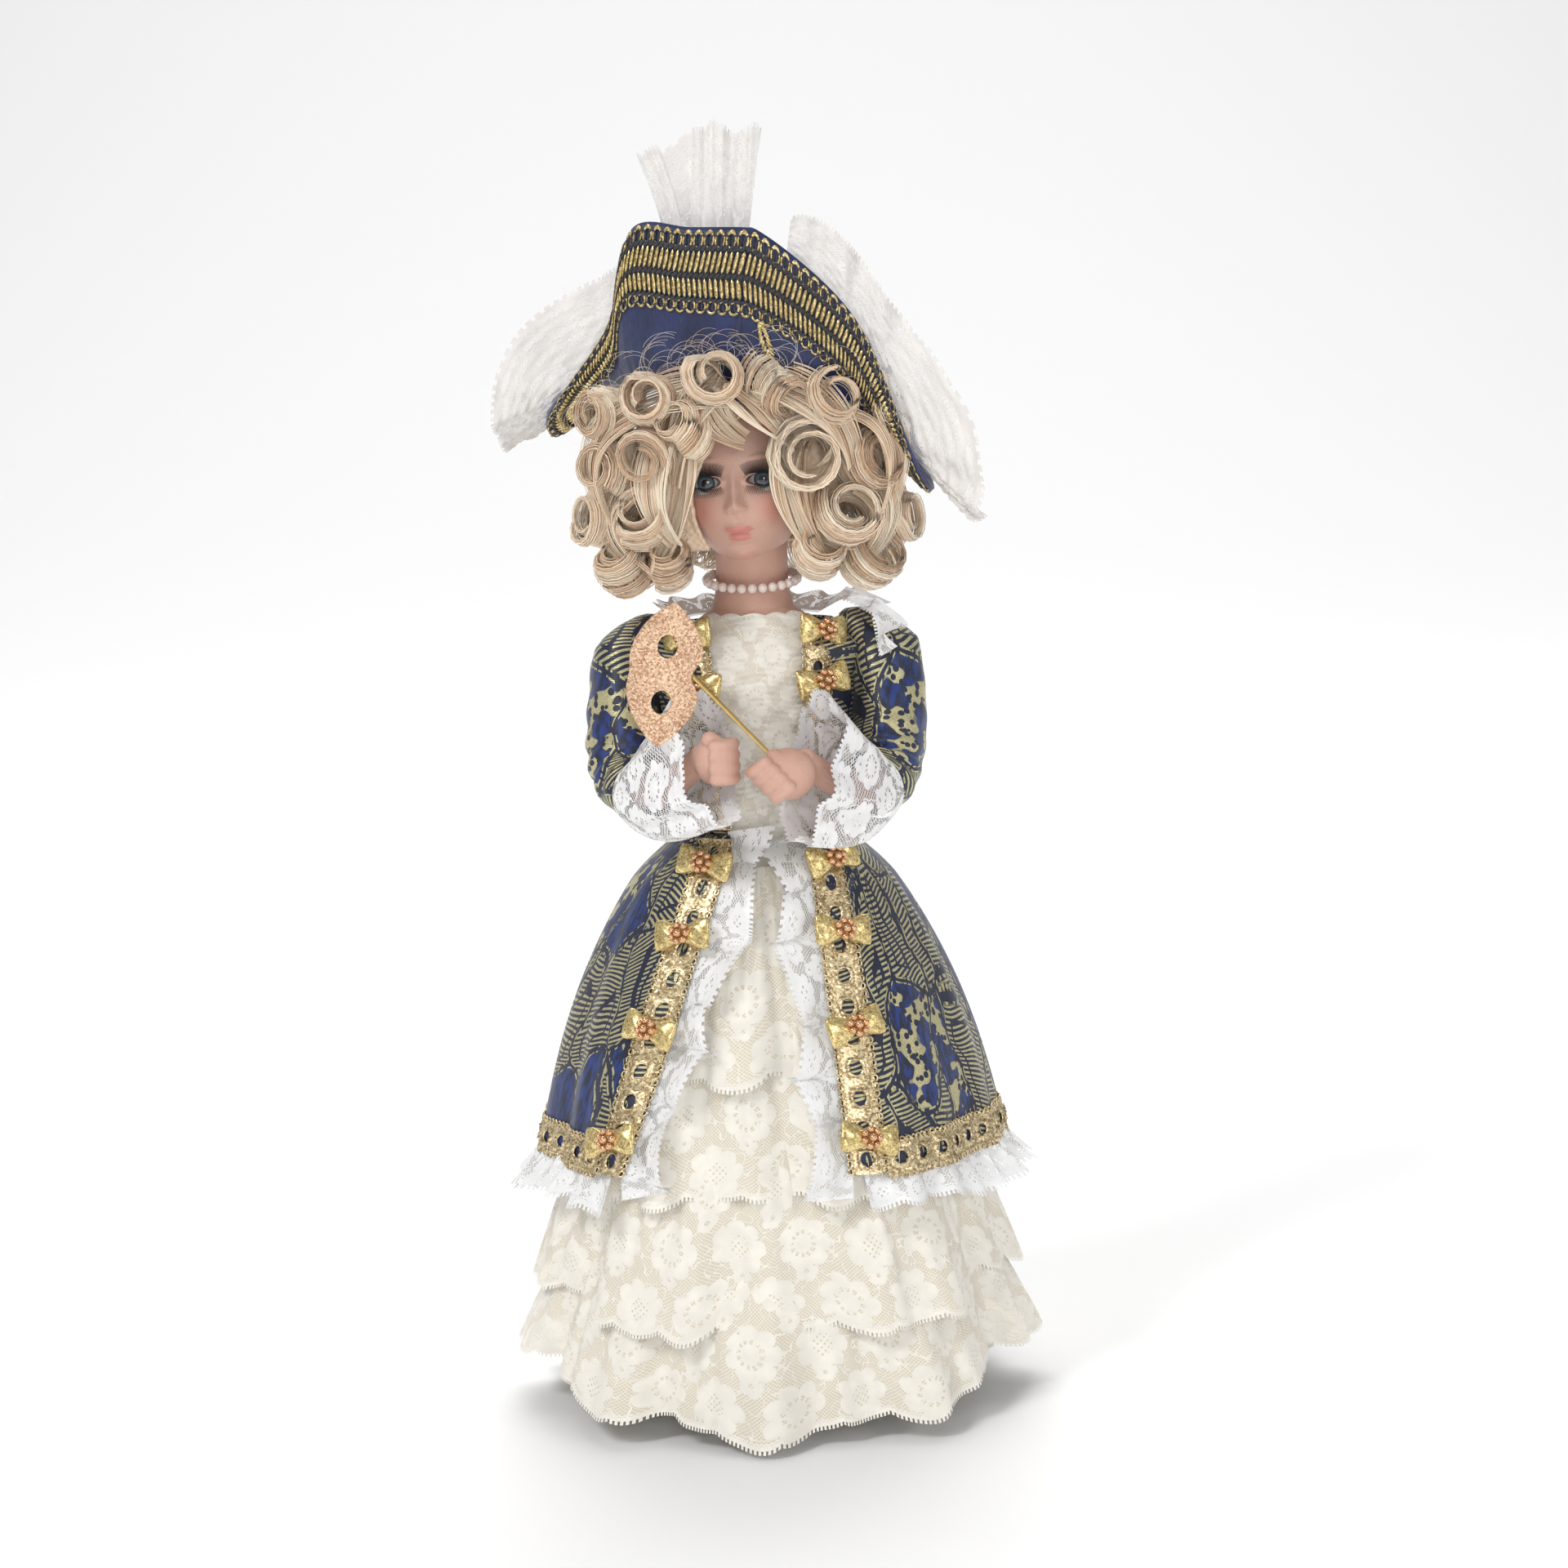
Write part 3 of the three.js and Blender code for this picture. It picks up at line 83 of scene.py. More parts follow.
hang_lamp("lamp_above_left", (-0.9, -1.0, 1.4), 13, 0.45)
hang_lamp("lamp_front", (0.15, -1.5, 0.45), 4, 0.5)
hang_lamp("lamp_right", (1.3, -1.0, 0.7), 4, 0.6)
hang_lamp("lamp_behind", (0.2, 1.1, 1.4), 5, 1.0)
hang_lamp("lamp_on_paper", (0, 2.2, 3.4), 95, 3.0)

camera_data = bpy.data.cameras.new("camera")
camera_data.lens = 79.7
camera = bpy.data.objects.new("camera", camera_data)
CAMERA_DISTANCE = 1.05
CAMERA_HEIGHT = math.radians(8)
CAMERA_TIP = math.radians(-2)
camera.location = LOOK_AT + CAMERA_DISTANCE * Vector((0, -math.cos(CAMERA_HEIGHT), math.sin(CAMERA_HEIGHT)))
aim = (LOOK_AT - camera.location).to_track_quat("-Z", "Y").to_matrix()
camera.rotation_euler = (aim @ Matrix.Rotation(CAMERA_TIP, 3, "Z")).to_euler()
bpy.context.collection.objects.link(camera)
bpy.context.scene.camera = camera


# The body is muslin stuffed with wadding: a torso with two arms and two legs sewn on, each a pad with
# puckered seams. It is all under the clothes. Unbleached muslin is a plain weave with slubs.
def mix(a, b, share):
    return a + (b - a) * share


SIDES = {"left": 1, "right": -1}
MERGE_DISTANCE = 0.00002


def on_whole_mesh(operation, **settings):
    """Runs one mesh operation on all of the active piece."""
    bpy.ops.object.mode_set(mode="EDIT")
    bpy.ops.mesh.select_all(action="SELECT")
    operation(**settings)
    bpy.ops.object.mode_set(mode="OBJECT")


def shape_cloth(name, columns, rows, place, cut, closed=False):
    """A grid laid where place(u, v) says, in millimetres. Its map keeps the flat size that it was cut to."""
    bpy.ops.mesh.primitive_grid_add(x_subdivisions=columns, y_subdivisions=rows, size=2)
    cloth = bpy.context.active_object
    cloth.name = cloth.data.name = name
    mesh = cloth.data
    points = np.empty(len(mesh.vertices) * 3)
    mesh.vertices.foreach_get("co", points)
    laid = place(points[0::3] / 2 + 0.5, points[1::3] / 2 + 0.5)
    mesh.vertices.foreach_set("co", np.stack(np.broadcast_arrays(*laid), 1).ravel() / 1000)
    marks = np.empty(len(mesh.loops) * 2)
    mesh.uv_layers[0].data.foreach_get("uv", marks)
    mesh.uv_layers[0].data.foreach_set("uv", marks * np.tile(cut, len(mesh.loops)) / 1000)
    mesh.polygons.foreach_set("use_smooth", np.ones(len(mesh.polygons), bool))
    if closed:
        on_whole_mesh(bpy.ops.mesh.remove_doubles, threshold=MERGE_DISTANCE)
    mesh.update()
    return cloth


def new_finish(name, **settings):
    """A material, and its node tree, whose shader has these plain settings."""
    finish = bpy.data.materials.new(name)
    finish.use_nodes = True
    shader = finish.node_tree.nodes["Principled BSDF"]
    for word, value in settings.items():
        shader.inputs[word.replace("_", " ").title()].default_value = value
    return finish, finish.node_tree


def fill(tree, node, values):
    for socket, value in zip(node.inputs, values):
        if isinstance(value, bpy.types.NodeSocket):
            tree.links.new(value, socket)
        else:
            socket.default_value = value


def maths(tree, operation, *values):
    """One sum on numbers or on other nodes' outputs."""
    node = tree.nodes.new("ShaderNodeMath")
    node.operation = operation
    fill(tree, node, values)
    return node.outputs[0]


def between(tree, value, low, high, low_out=0.0, high_out=1.0):
    """Turns a value between low and high into a smooth step."""
    node = tree.nodes.new("ShaderNodeMapRange")
    node.interpolation_type = "SMOOTHSTEP"
    fill(tree, node, (value, low, high, low_out, high_out))
    return node.outputs[0]


def blend_colour(tree, share, first, second):
    node = tree.nodes.new("ShaderNodeMix")
    node.data_type = "RGBA"
    for socket, value in ((0, share), (6, first), (7, second)):
        if isinstance(value, bpy.types.NodeSocket):
            tree.links.new(value, node.inputs[socket])
        else:
            node.inputs[socket].default_value = value if socket == 0 else (*value, 1)
    return node.outputs[2]


def cloudy(tree, place, scale, detail=3.0, stretch=(1, 1, 1)):
    """Noise on a place, which can be stretched along an axis."""
    mapping = tree.nodes.new("ShaderNodeMapping")
    mapping.inputs["Scale"].default_value = stretch
    tree.links.new(place, mapping.inputs["Vector"])
    noise = tree.nodes.new("ShaderNodeTexNoise")
    noise.inputs["Scale"].default_value = scale
    noise.inputs["Detail"].default_value = detail
    tree.links.new(mapping.outputs[0], noise.inputs["Vector"])
    return noise.outputs["Fac"]


def surface_place(tree, word):
    return tree.nodes.new("ShaderNodeTexCoord").outputs[word]


def split_place(tree, place):
    """The two directions of a piece of cloth, in millimetres."""
    parts = tree.nodes.new("ShaderNodeSeparateXYZ")
    tree.links.new(place, parts.inputs[0])
    return [maths(tree, "MULTIPLY", parts.outputs[k], 1000.0) for k in (0, 1)]


def wire_finish(tree, **sources):
    """Leads colours and masks into the shader, and a height into its bump."""
    shader = tree.nodes["Principled BSDF"]
    for word, source in sources.items():
        if word == "height":
            bump = tree.nodes.new("ShaderNodeBump")
            bump.inputs["Strength"].default_value = 0.6
            bump.inputs["Distance"].default_value = 0.0003
            tree.links.new(source, bump.inputs["Height"])
            tree.links.new(bump.outputs[0], shader.inputs["Normal"])
        else:
            tree.links.new(source, shader.inputs[word.replace("_", " ").title()])


def clouded_finish(name, dark, light, scale, detail=1, stretch=(1, 1, 1), bumped=False, **settings):
    """A material whose shade drifts between two colours, and whose surface may rise and fall with it."""
    finish, tree = new_finish(name, **settings)
    cloud = cloudy(tree, surface_place(tree, "Object"), scale, detail, stretch)
    sources = {"base_color": blend_colour(tree, cloud, dark, light)}
    if bumped:
        sources["height"] = cloud
    wire_finish(tree, **sources)
    return finish


def new_group(name, inputs, outputs):
    """An effect that several finishes use: numbers and places in, masks and colours out."""
    group = bpy.data.node_groups.new(name, "ShaderNodeTree")
    for word, kind, value in inputs:
        socket = group.interface.new_socket(word, in_out="INPUT", socket_type=kind)
        if value is not None:
            socket.default_value = value
    for word, kind in outputs:
        group.interface.new_socket(word, in_out="OUTPUT", socket_type=kind)
    return group, group.nodes.new("NodeGroupInput").outputs, group.nodes.new("NodeGroupOutput").inputs


def use_group(tree, group, place, **values):
    node = tree.nodes.new("ShaderNodeGroup")
    node.node_tree = group
    tree.links.new(place, node.inputs["Place"])
    for word, value in values.items():
        node.inputs[word.replace("_", " ").title()].default_value = value
    return node.outputs


NUMBER, COLOUR, PLACE = "NodeSocketFloat", "NodeSocketColor", "NodeSocketVector"

weave, weave_in, weave_out = new_group(
    "plain weave", [("Place", PLACE, None), ("Pitch", NUMBER, 0.4)], [("Height", NUMBER)]
)
half_turns = [maths(weave, "MULTIPLY", way, math.pi) for way in split_place(weave, weave_in["Place"])]
turns = [maths(weave, "DIVIDE", half_turn, weave_in["Pitch"]) for half_turn in half_turns]
waves = [maths(weave, "ABSOLUTE", maths(weave, "SINE", turn)) for turn in turns]
weave.links.new(maths(weave, "MAXIMUM", *waves), weave_out["Height"])

muslin, tree = new_finish("muslin", roughness=0.95, sheen_weight=0.3)
place = surface_place(tree, "Object")
slubs = cloudy(tree, place, 900, 4, (1, 1, 0.2))
wire_finish(
    tree,
    base_color=blend_colour(tree, slubs, (0.60, 0.52, 0.40), (0.82, 0.76, 0.64)),
    height=use_group(tree, weave, place, pitch=0.5)["Height"],
)

PUCKERS = 14


def stuffed_limb(name, node, body, rings):
    """A pad through rings of centre and two half axes, with puckers along its seams and closed ends."""
    centres = np.array([ring[0] for ring in rings], float)
    first = np.array([ring[1] for ring in rings], float)
    second = np.array([ring[2] for ring in rings], float)
    steps = np.arange(len(rings)) / (len(rings) - 1)

    def place(u, v):
        angle = 2 * math.pi * u
        row = 0.04 + 0.92 * v
        pucker = 1 - 0.02 * np.cos(PUCKERS * angle) * np.abs(np.cos(math.pi * v))
        close = np.sqrt(np.clip(np.minimum(v, 1 - v) / 0.06, 0, 1)) * pucker
        at = [np.interp(row, steps, centres[:, k]) for k in range(3)]
        a = [np.interp(row, steps, first[:, k]) for k in range(3)]
        b = [np.interp(row, steps, second[:, k]) for k in range(3)]
        return [at[k] + close * (a[k] * np.cos(angle) + b[k] * np.sin(angle)) for k in range(3)]

    pad = shape_cloth(name, 56, 48, place, (60, 60), closed=True)
    pad.data.materials.append(muslin)
    on_whole_mesh(bpy.ops.mesh.normals_make_consistent, inside=False)
    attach(pad, body)
    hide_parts(node)


def flat_ring(z, half_width, half_depth, x=0):
    return (x, 0, z), (half_width, 0, 0), (0, half_depth, 0)


stuffed_limb(
    "stuffed_torso", "cloth_torso", "figure",
    [flat_ring(163.2, 19, 15), flat_ring(168, 21.6, 17.4), flat_ring(174, 21, 16.8), flat_ring(200, 23.4, 18.2),
     flat_ring(210.4, 24.2, 18), flat_ring(211, 21.6, 15.6), flat_ring(222.5, 21.4, 14.4)],
)
HIP_SPREAD = 14
for word, side in SIDES.items():
    x = side * HIP_SPREAD
    stuffed_limb(
        f"stuffed_thigh_{word}", f"cloth_thigh_{word}", f"{word}_leg",
        [flat_ring(161.8, 4, 4, x), flat_ring(159, 8.2, 8.2, x), flat_ring(149, 8.8, 8.8, x),
         flat_ring(100, 8.9, 8.9, x), flat_ring(91, 8.8, 8.8, x), flat_ring(81.4, 8.4, 8.4, x)],
    )


# The lower legs are bisque, cast with their shoes: flesh-tinted shins, white stockings painted to below the
# knee, and black shoes with a low heel. Bisque is matt, a little mottled, and finely pitted.
bisque_mottle, mottle_in, mottle_out = new_group(
    "bisque mottle", [("Place", PLACE, None)], [("Shade", NUMBER), ("Height", NUMBER)]
)
bisque_mottle.links.new(cloudy(bisque_mottle, mottle_in["Place"], 90, 4), mottle_out["Shade"])
bisque_mottle.links.new(cloudy(bisque_mottle, mottle_in["Place"], 2600, 2), mottle_out["Height"])

FLESH_DEEP = (0.56, 0.31, 0.235)
FLESH_PALE = (0.74, 0.47, 0.375)
leg_bisque, tree = new_finish(
    "leg bisque", roughness=0.42, subsurface_weight=0.1, subsurface_radius=(0.003, 0.001, 0.0006)
)
place = surface_place(tree, "Object")
mottle = use_group(tree, bisque_mottle, place)
parts = tree.nodes.new("ShaderNodeSeparateXYZ")
tree.links.new(place, parts.inputs[0])
above_stocking = between(tree, parts.outputs[2], 0.0702, 0.0708)
above_shoe = between(tree, parts.outputs[2], 0.0105, 0.0112)
skin = blend_colour(tree, mottle["Shade"], FLESH_DEEP, FLESH_PALE)
stocking = blend_colour(tree, mottle["Shade"], (0.74, 0.73, 0.70), (0.86, 0.85, 0.82))
painted = blend_colour(tree, above_stocking, stocking, skin)
black = blend_colour(tree, mottle["Shade"], (0.006, 0.006, 0.008), (0.02, 0.02, 0.024))
wire_finish(tree, base_color=blend_colour(tree, above_shoe, black, painted), height=mottle["Height"])
for word in SIDES:
    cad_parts[f"bisque_leg_{word}"].data.materials[0] = leg_bisque

# What the maker left out of sight stays as the solid parts have it: a disc of grey card closes the open crown
# of the head under the wig, and a soft steel wire in each upper arm holds the arm's pose.
DRAWN_DOWN = (1, 1, 0.1)
grey_card = clouded_finish(
    "grey card", (0.42, 0.37, 0.29), (0.62, 0.57, 0.48), 1600, 4, bumped=True, roughness=0.9
)
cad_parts["crown_disc"].data.materials[0] = grey_card
soft_steel = clouded_finish(
    "soft steel", (0.34, 0.35, 0.36), (0.60, 0.61, 0.63), 1400, 2, DRAWN_DOWN, bumped=True,
    roughness=0.35, metallic=0.9
)
for word in SIDES:
    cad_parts[f"arm_wire_{word}"].data.materials[0] = soft_steel


# Lace is machine made: a net ground with flowers of solid clothwork, each outlined with a thicker cord, and a
# scalloped edge with a fringe of small loops. Under it hangs a skirt of crinkled ivory satin.
lace_web, lace_in, lace_out = new_group(
    "flowered lace",
    [("Place", PLACE, None), ("Motif", NUMBER, 18.0), ("Net", NUMBER, 1.25), ("Fringe", NUMBER, 1.0)],
    [("Cover", NUMBER), ("Height", NUMBER), ("Solid", NUMBER), ("Kept", NUMBER)],
)
u, v = split_place(lace_web, lace_in["Place"])
motif, net = lace_in["Motif"], lace_in["Net"]


def lace(operation, *values):
    return maths(lace_web, operation, *values)


wobble = [cloudy(lace_web, lace_in["Place"], scale, 1) for scale in (55, 68)]
wavy_u = lace("ADD", u, lace("MULTIPLY", lace("SUBTRACT", wobble[0], 0.5), 5.0))
wavy_v = lace("ADD", v, lace("MULTIPLY", lace("SUBTRACT", wobble[1], 0.5), 4.0))


def flower(shift_u, shift_v, size, petals):
    """Distance from a flower's rim, its middle's distance and its angle, on a staggered grid of flowers."""
    height = lace("MULTIPLY", motif, 0.86)
    row = lace("DIVIDE", lace("SUBTRACT", wavy_v, lace("MULTIPLY", motif, shift_v)), height)
    stagger = lace("MULTIPLY", lace("MODULO", lace("FLOOR", row), 2.0), 0.5)
    column = lace("ADD", lace("ADD", lace("DIVIDE", wavy_u, motif), stagger), shift_u)
    x = lace("MULTIPLY", lace("SUBTRACT", lace("FRACT", column), 0.5), motif)
    y = lace("MULTIPLY", lace("SUBTRACT", lace("FRACT", row), 0.5), height)
    distance = lace("SQRT", lace("ADD", lace("MULTIPLY", x, x), lace("MULTIPLY", y, y)))
    angle = lace("ARCTAN2", y, x)
    petal = lace("ABSOLUTE", lace("COSINE", lace("MULTIPLY", angle, petals / 2)))
    petal_length = lace("MULTIPLY", lace("POWER", petal, 0.6), size * 0.26)
    rim = lace("MULTIPLY", motif, lace("ADD", size * 0.74, petal_length))
    parity = lace("MODULO", lace("FLOOR", column), 2.0)
    return lace("SUBTRACT", distance, rim), distance, angle, x, y, parity


to_rim, reach, angle, x, y, parity = flower(0.0, 0.02, 0.40, 7)
to_bud, bud_reach, _, _, _, _ = flower(0.5, 0.45, 0.15, 5)
petal_cloth = lace("LESS_THAN", to_rim, 0.0)
ring = lace("ABSOLUTE", lace("SUBTRACT", reach, lace("MULTIPLY", motif, 0.185)))
ring_gap = lace("LESS_THAN", ring, lace("MULTIPLY", motif, 0.032))
twelfths = lace("COSINE", lace("MULTIPLY", angle, 12.0))
ring_holes = lace("MULTIPLY", ring_gap, lace("GREATER_THAN", twelfths, -0.15))
lattice_u = lace("GREATER_THAN", lace("SINE", lace("MULTIPLY", lace("ADD", x, y), 2.9)), -0.1)
lattice_v = lace("GREATER_THAN", lace("SINE", lace("MULTIPLY", lace("SUBTRACT", x, y), 2.9)), -0.1)
lattice_place = lace("LESS_THAN", reach, lace("MULTIPLY", motif, 0.17))
lattice_holes = lace("MULTIPLY", lattice_place, lace("MULTIPLY", lattice_u, lattice_v))
odd_one = lace("MULTIPLY", parity, ring_holes)
even_one = lace("MULTIPLY", lace("SUBTRACT", 1.0, parity), lattice_holes)
holes = lace("ADD", odd_one, even_one)
flowers = lace("MULTIPLY", petal_cloth, lace("SUBTRACT", 1.0, holes))
outside_eye = lace("GREATER_THAN", bud_reach, lace("MULTIPLY", motif, 0.035))
buds = lace("MULTIPLY", lace("LESS_THAN", to_bud, 0.0), outside_eye)
flower_cord = lace("LESS_THAN", lace("ABSOLUTE", to_rim), 0.3)
cord = lace("MAXIMUM", flower_cord, lace("LESS_THAN", lace("ABSOLUTE", to_bud), 0.22))
sprig_turn = lace("SUBTRACT", cloudy(lace_web, lace_in["Place"], 240, 0.5), 0.5)
sprigs = lace("LESS_THAN", lace("ABSOLUTE", sprig_turn), 0.018)
turn = lace("DIVIDE", math.pi, net)
thread = [
    lace("ABSOLUTE", lace("SINE", lace("MULTIPLY", lace(way, u, v), turn)))
    for way in ("ADD", "SUBTRACT")
]
ground = lace("LESS_THAN", lace("MINIMUM", *thread), 0.36)
band = lace("LESS_THAN", v, 2.6)
band_cord = lace("LESS_THAN", lace("ABSOLUTE", lace("SUBTRACT", v, 3.0)), 0.25)
in_fringe = lace("MULTIPLY", lace("LESS_THAN", v, 1.2), lace_in["Fringe"])
fringe_gaps = lace("GREATER_THAN", lace("SINE", lace("MULTIPLY", u, 5.6)), 0.25)
solid = lace("MAXIMUM", lace("MAXIMUM", flowers, buds), lace("MAXIMUM", band, sprigs))
cords = lace("MAXIMUM", cord, band_cord)
cover = lace("MAXIMUM", lace("MAXIMUM", solid, ground), cords)
kept = lace("SUBTRACT", 1.0, lace("MULTIPLY", in_fringe, fringe_gaps))
lace_web.links.new(cover, lace_out["Cover"])
lace_web.links.new(kept, lace_out["Kept"])
lace_web.links.new(lace("MAXIMUM", solid, cords), lace_out["Solid"])
raised = lace("ADD", lace("MULTIPLY", solid, 0.5), lace("ADD", cords, lace("MULTIPLY", ground, 0.25)))
lace_web.links.new(raised, lace_out["Height"])


def lace_finish(name, dark, light, motif, net, veil):
    """Threads over holes, which hair-fine threads veil to the share that is given."""
    finish, tree = new_finish(name, roughness=0.75, sheen_weight=0.25)
    place = surface_place(tree, "UV")
    web = use_group(tree, lace_web, place, motif=motif, net=net)
    cloud = cloudy(tree, place, 140, 3)
    thread = blend_colour(tree, web["Solid"], dark, light)
    shade = blend_colour(tree, between(tree, cloud, 0.35, 0.7), tuple(0.9 * c for c in light), light)
    threads = maths(tree, "ADD", maths(tree, "MULTIPLY", web["Cover"], 1 - veil), veil)
    wire_finish(
        tree,
        base_color=blend_colour(tree, web["Solid"], thread, shade),
        alpha=maths(tree, "MULTIPLY", web["Kept"], threads),
        height=web["Height"],
    )
    return finish


ivory_lace = lace_finish("ivory lace", (0.89, 0.82, 0.69), (0.94, 0.90, 0.81), 21.0, 1.15, veil=0.72)

satin_threads, satin_in, satin_out = new_group(
    "satin threads", [("Place", PLACE, None)], [("Shade", NUMBER), ("Height", NUMBER)]
)
satin_fine = cloudy(satin_threads, satin_in["Place"], 5200, 2, (1, 0.04, 1))
satin_broad = cloudy(satin_threads, satin_in["Place"], 90, 4)
satin_threads.links.new(maths(satin_threads, "ADD", maths(satin_threads, "MULTIPLY", satin_fine, 0.35),
                              maths(satin_threads, "MULTIPLY", satin_broad, 0.65)), satin_out["Shade"])
satin_threads.links.new(satin_fine, satin_out["Height"])



def satin_finish(name, dark, light, roughness, sheen_weight):
    finish, tree = new_finish(name, roughness=roughness, sheen_weight=sheen_weight)
    threads = use_group(tree, satin_threads, surface_place(tree, "UV"))
    shade = between(tree, threads["Shade"], 0.3, 0.7)
    wire_finish(tree, base_color=blend_colour(tree, shade, dark, light), height=threads["Height"])
    return finish


ivory_satin = satin_finish("ivory satin", (0.84, 0.77, 0.64), (0.93, 0.89, 0.80), 0.5, 0.4)

WAIST = 172
DEPTH_SHARE = 0.86


def smooth_step(value, low, high):
    share = np.clip((value - low) / (high - low), 0, 1)
    return share * share * (3 - 2 * share)


def skirt_radius(z):
    return 25 + 43 * np.maximum(0, 1 - z / WAIST) ** 0.7 - 3 * smooth_step(z, 158, 174)


def folds(theta, count, start):
    """The fall of gathered cloth: -1 in a valley and 1 on a ridge, no two folds quite alike."""
    first = np.cos(count * theta + start + 0.7 * np.sin(2 * theta + start))
    second = np.cos((count * 2 + 3) * theta + 2.1 * start + 0.5 * np.sin(3 * theta))
    third = np.cos((count * 3 + 5) * theta + 0.4 * start)
    rounded = np.sign(first) * np.abs(first) ** 0.75
    return 0.62 * rounded + 0.26 * second + 0.12 * third


def round_place(theta, radius, z):
    return radius * np.sin(theta), -radius * DEPTH_SHARE * np.cos(theta), z


def thicken(cloth, depth):
    bpy.context.view_layer.objects.active = cloth
    wall = cloth.modifiers.new("wall", "SOLIDIFY")
    wall.thickness = depth / 1000
    wall.offset = 0
    bpy.ops.object.modifier_apply(modifier="wall")


def sew(name, grid, place, cut, look, body, node, closed=False, wall=0, pose=None):
    """One piece of cloth, cut flat to a size in millimetres. Its look is a material and a slot, and the slot is
    not used.
    """
    material, slot = look
    cloth = shape_cloth(name, *grid, place, cut, closed)
    if wall:
        thicken(cloth, wall)
    if pose:
        cloth.data.transform(pose)
    cloth.data.materials.append(material)
    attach(cloth, body)
    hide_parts(node)


UNDERSKIRT_HEM = 13

def underskirt_place(u, v):
    theta = 2 * math.pi * (u - 0.5)
    z = mix(UNDERSKIRT_HEM, WAIST, v)
    crinkle = 0.5 * np.sin(z * 0.55 + 3 * np.sin(7 * theta)) * np.sin(23 * theta + 0.09 * z)
    radius = skirt_radius(z) + 2.4 * (1 - v) ** 0.8 * folds(theta, 9, 1.3) - 1 + crinkle
    return round_place(theta, radius, z)


satin_look = ivory_satin, "ivory_satin"
sew("satin_underskirt_cloth", (240, 66), underskirt_place, (320, 172), satin_look, "figure",
    "satin_underskirt", closed=True)

# Four gathered tiers of ivory lace are sewn round the underskirt, each covering the next one's seam. Their
# hems are scalloped, they fall in deep folds, and the lowest almost touches the floor.
SCALLOP = 17
TIERS = (
    # name, seam height, hem height, ease at the hem, depth of the folds, how many, where they start,
    # and how far the hem rises at the sides
    ("bottom", 50, 3.0, 9.5, 7.6, 8, 0.4, 13),
    ("second", 88, 31, 8.0, 7.4, 6, 2.9, 6),
    ("third", 128, 69, 6.6, 6.2, 6, 4.0, 3),
    ("top", 166, 104, 4.6, 4.2, 6, 1.1, 2),
)
HEM_ALLOWANCE = 4
TIER_CUTS = {"bottom": 476, "second": 442, "third": 391, "top": 306}


def tier_place(tier):
    name, seam, hem, ease, depth, count, start, rise = tier

    def place(u, v):
        theta = 2 * math.pi * (u - 0.5)
        fold = folds(theta, count, start)
        along = u * TIER_CUTS[name]
        scallop = 2.6 * np.abs(np.sin(math.pi * along / SCALLOP)) ** 0.7
        lobes = 2.5 * (1 - fold)
        hem_line = hem + rise * np.sin(theta) ** 2 + lobes - scallop * 0.9
        z = mix(hem_line, seam, v)
        fall = (1 - v) ** 0.65
        radius = skirt_radius(z) + 1.6 + ease * fall + depth * fall * fold
        gather = 0.35 * np.sin(61 * theta + 4 * v) * (0.35 + v)
        return round_place(theta + 0.02 * fall * np.sin(count * theta), radius + gather, z)

    return place


for tier in TIERS:
    name, seam, hem = tier[:3]
    tier_cut = (TIER_CUTS[name], seam - hem + HEM_ALLOWANCE)
    sew(f"ivory_lace_{name}", (440, 40), tier_place(tier), tier_cut, (ivory_lace, "ivory_lace"),
        "figure", f"lace_tier_{name}", closed=True)


# The coat is a brocade of dark navy silk with pale gold and royal blue brought up in leaves: ribbed gold leaves
# outlined in navy, plain blue ones, grey speckle, and dotted gold fruit on blue. It is cut open at the front.
brocade_web, brocade_in, brocade_out = new_group(
    "leaf brocade",
    [("Place", PLACE, None)],
    [("Colour", COLOUR), ("Gold", NUMBER), ("Height", NUMBER)],
)


def silk(operation, *values):
    return maths(brocade_web, operation, *values)


u, v = split_place(brocade_web, brocade_in["Place"])
drift = [
    silk("MULTIPLY", silk("SUBTRACT", cloudy(brocade_web, brocade_in["Place"], scale, 1.5), 0.5), reach)
    for scale, reach in ((45, 17.0), (38, 22.0))
]
leaf_place = brocade_web.nodes.new("ShaderNodeCombineXYZ")
fill(brocade_web, leaf_place, (silk("ADD", u, drift[0]), silk("MULTIPLY", silk("ADD", v, drift[1]), 0.55), 0.0))


def leaf_cells(feature, output, place=leaf_place.outputs[0], scale=0.062):
    cells = brocade_web.nodes.new("ShaderNodeTexVoronoi")
    cells.feature = feature
    cells.inputs["Scale"].default_value = scale
    brocade_web.links.new(place, cells.inputs["Vector"])
    return cells.outputs[output]


leaf_rim = leaf_cells("DISTANCE_TO_EDGE", "Distance")
leaf_kind = brocade_web.nodes.new("ShaderNodeSeparateColor")
brocade_web.links.new(leaf_cells("F1", "Color"), leaf_kind.inputs[0])
kind, lean, shade = leaf_kind.outputs
slope = silk("MULTIPLY", silk("SUBTRACT", lean, 0.5), 0.9)
rib_line = silk("ADD", v, silk("ADD", silk("MULTIPLY", u, slope), silk("MULTIPLY", drift[0], 0.5)))
rib = silk("SINE", silk("MULTIPLY", rib_line, 2 * math.pi / 1.45))
broken = cloudy(brocade_web, brocade_in["Place"], 620, 2, (1, 0.35, 1))
ribs = between(brocade_web, silk("ADD", rib, silk("MULTIPLY", silk("SUBTRACT", broken, 0.5), 1.3)), -0.1, 0.35)
inside_leaf = between(brocade_web, leaf_rim, 0.035, 0.06)
veins = silk("GREATER_THAN", silk("ABSOLUTE", silk("SUBTRACT", leaf_rim, 0.2)), 0.02)
is_ribbed = silk("LESS_THAN", kind, 0.60)
is_blue = silk("MULTIPLY", silk("GREATER_THAN", kind, 0.60), silk("LESS_THAN", kind, 0.80))
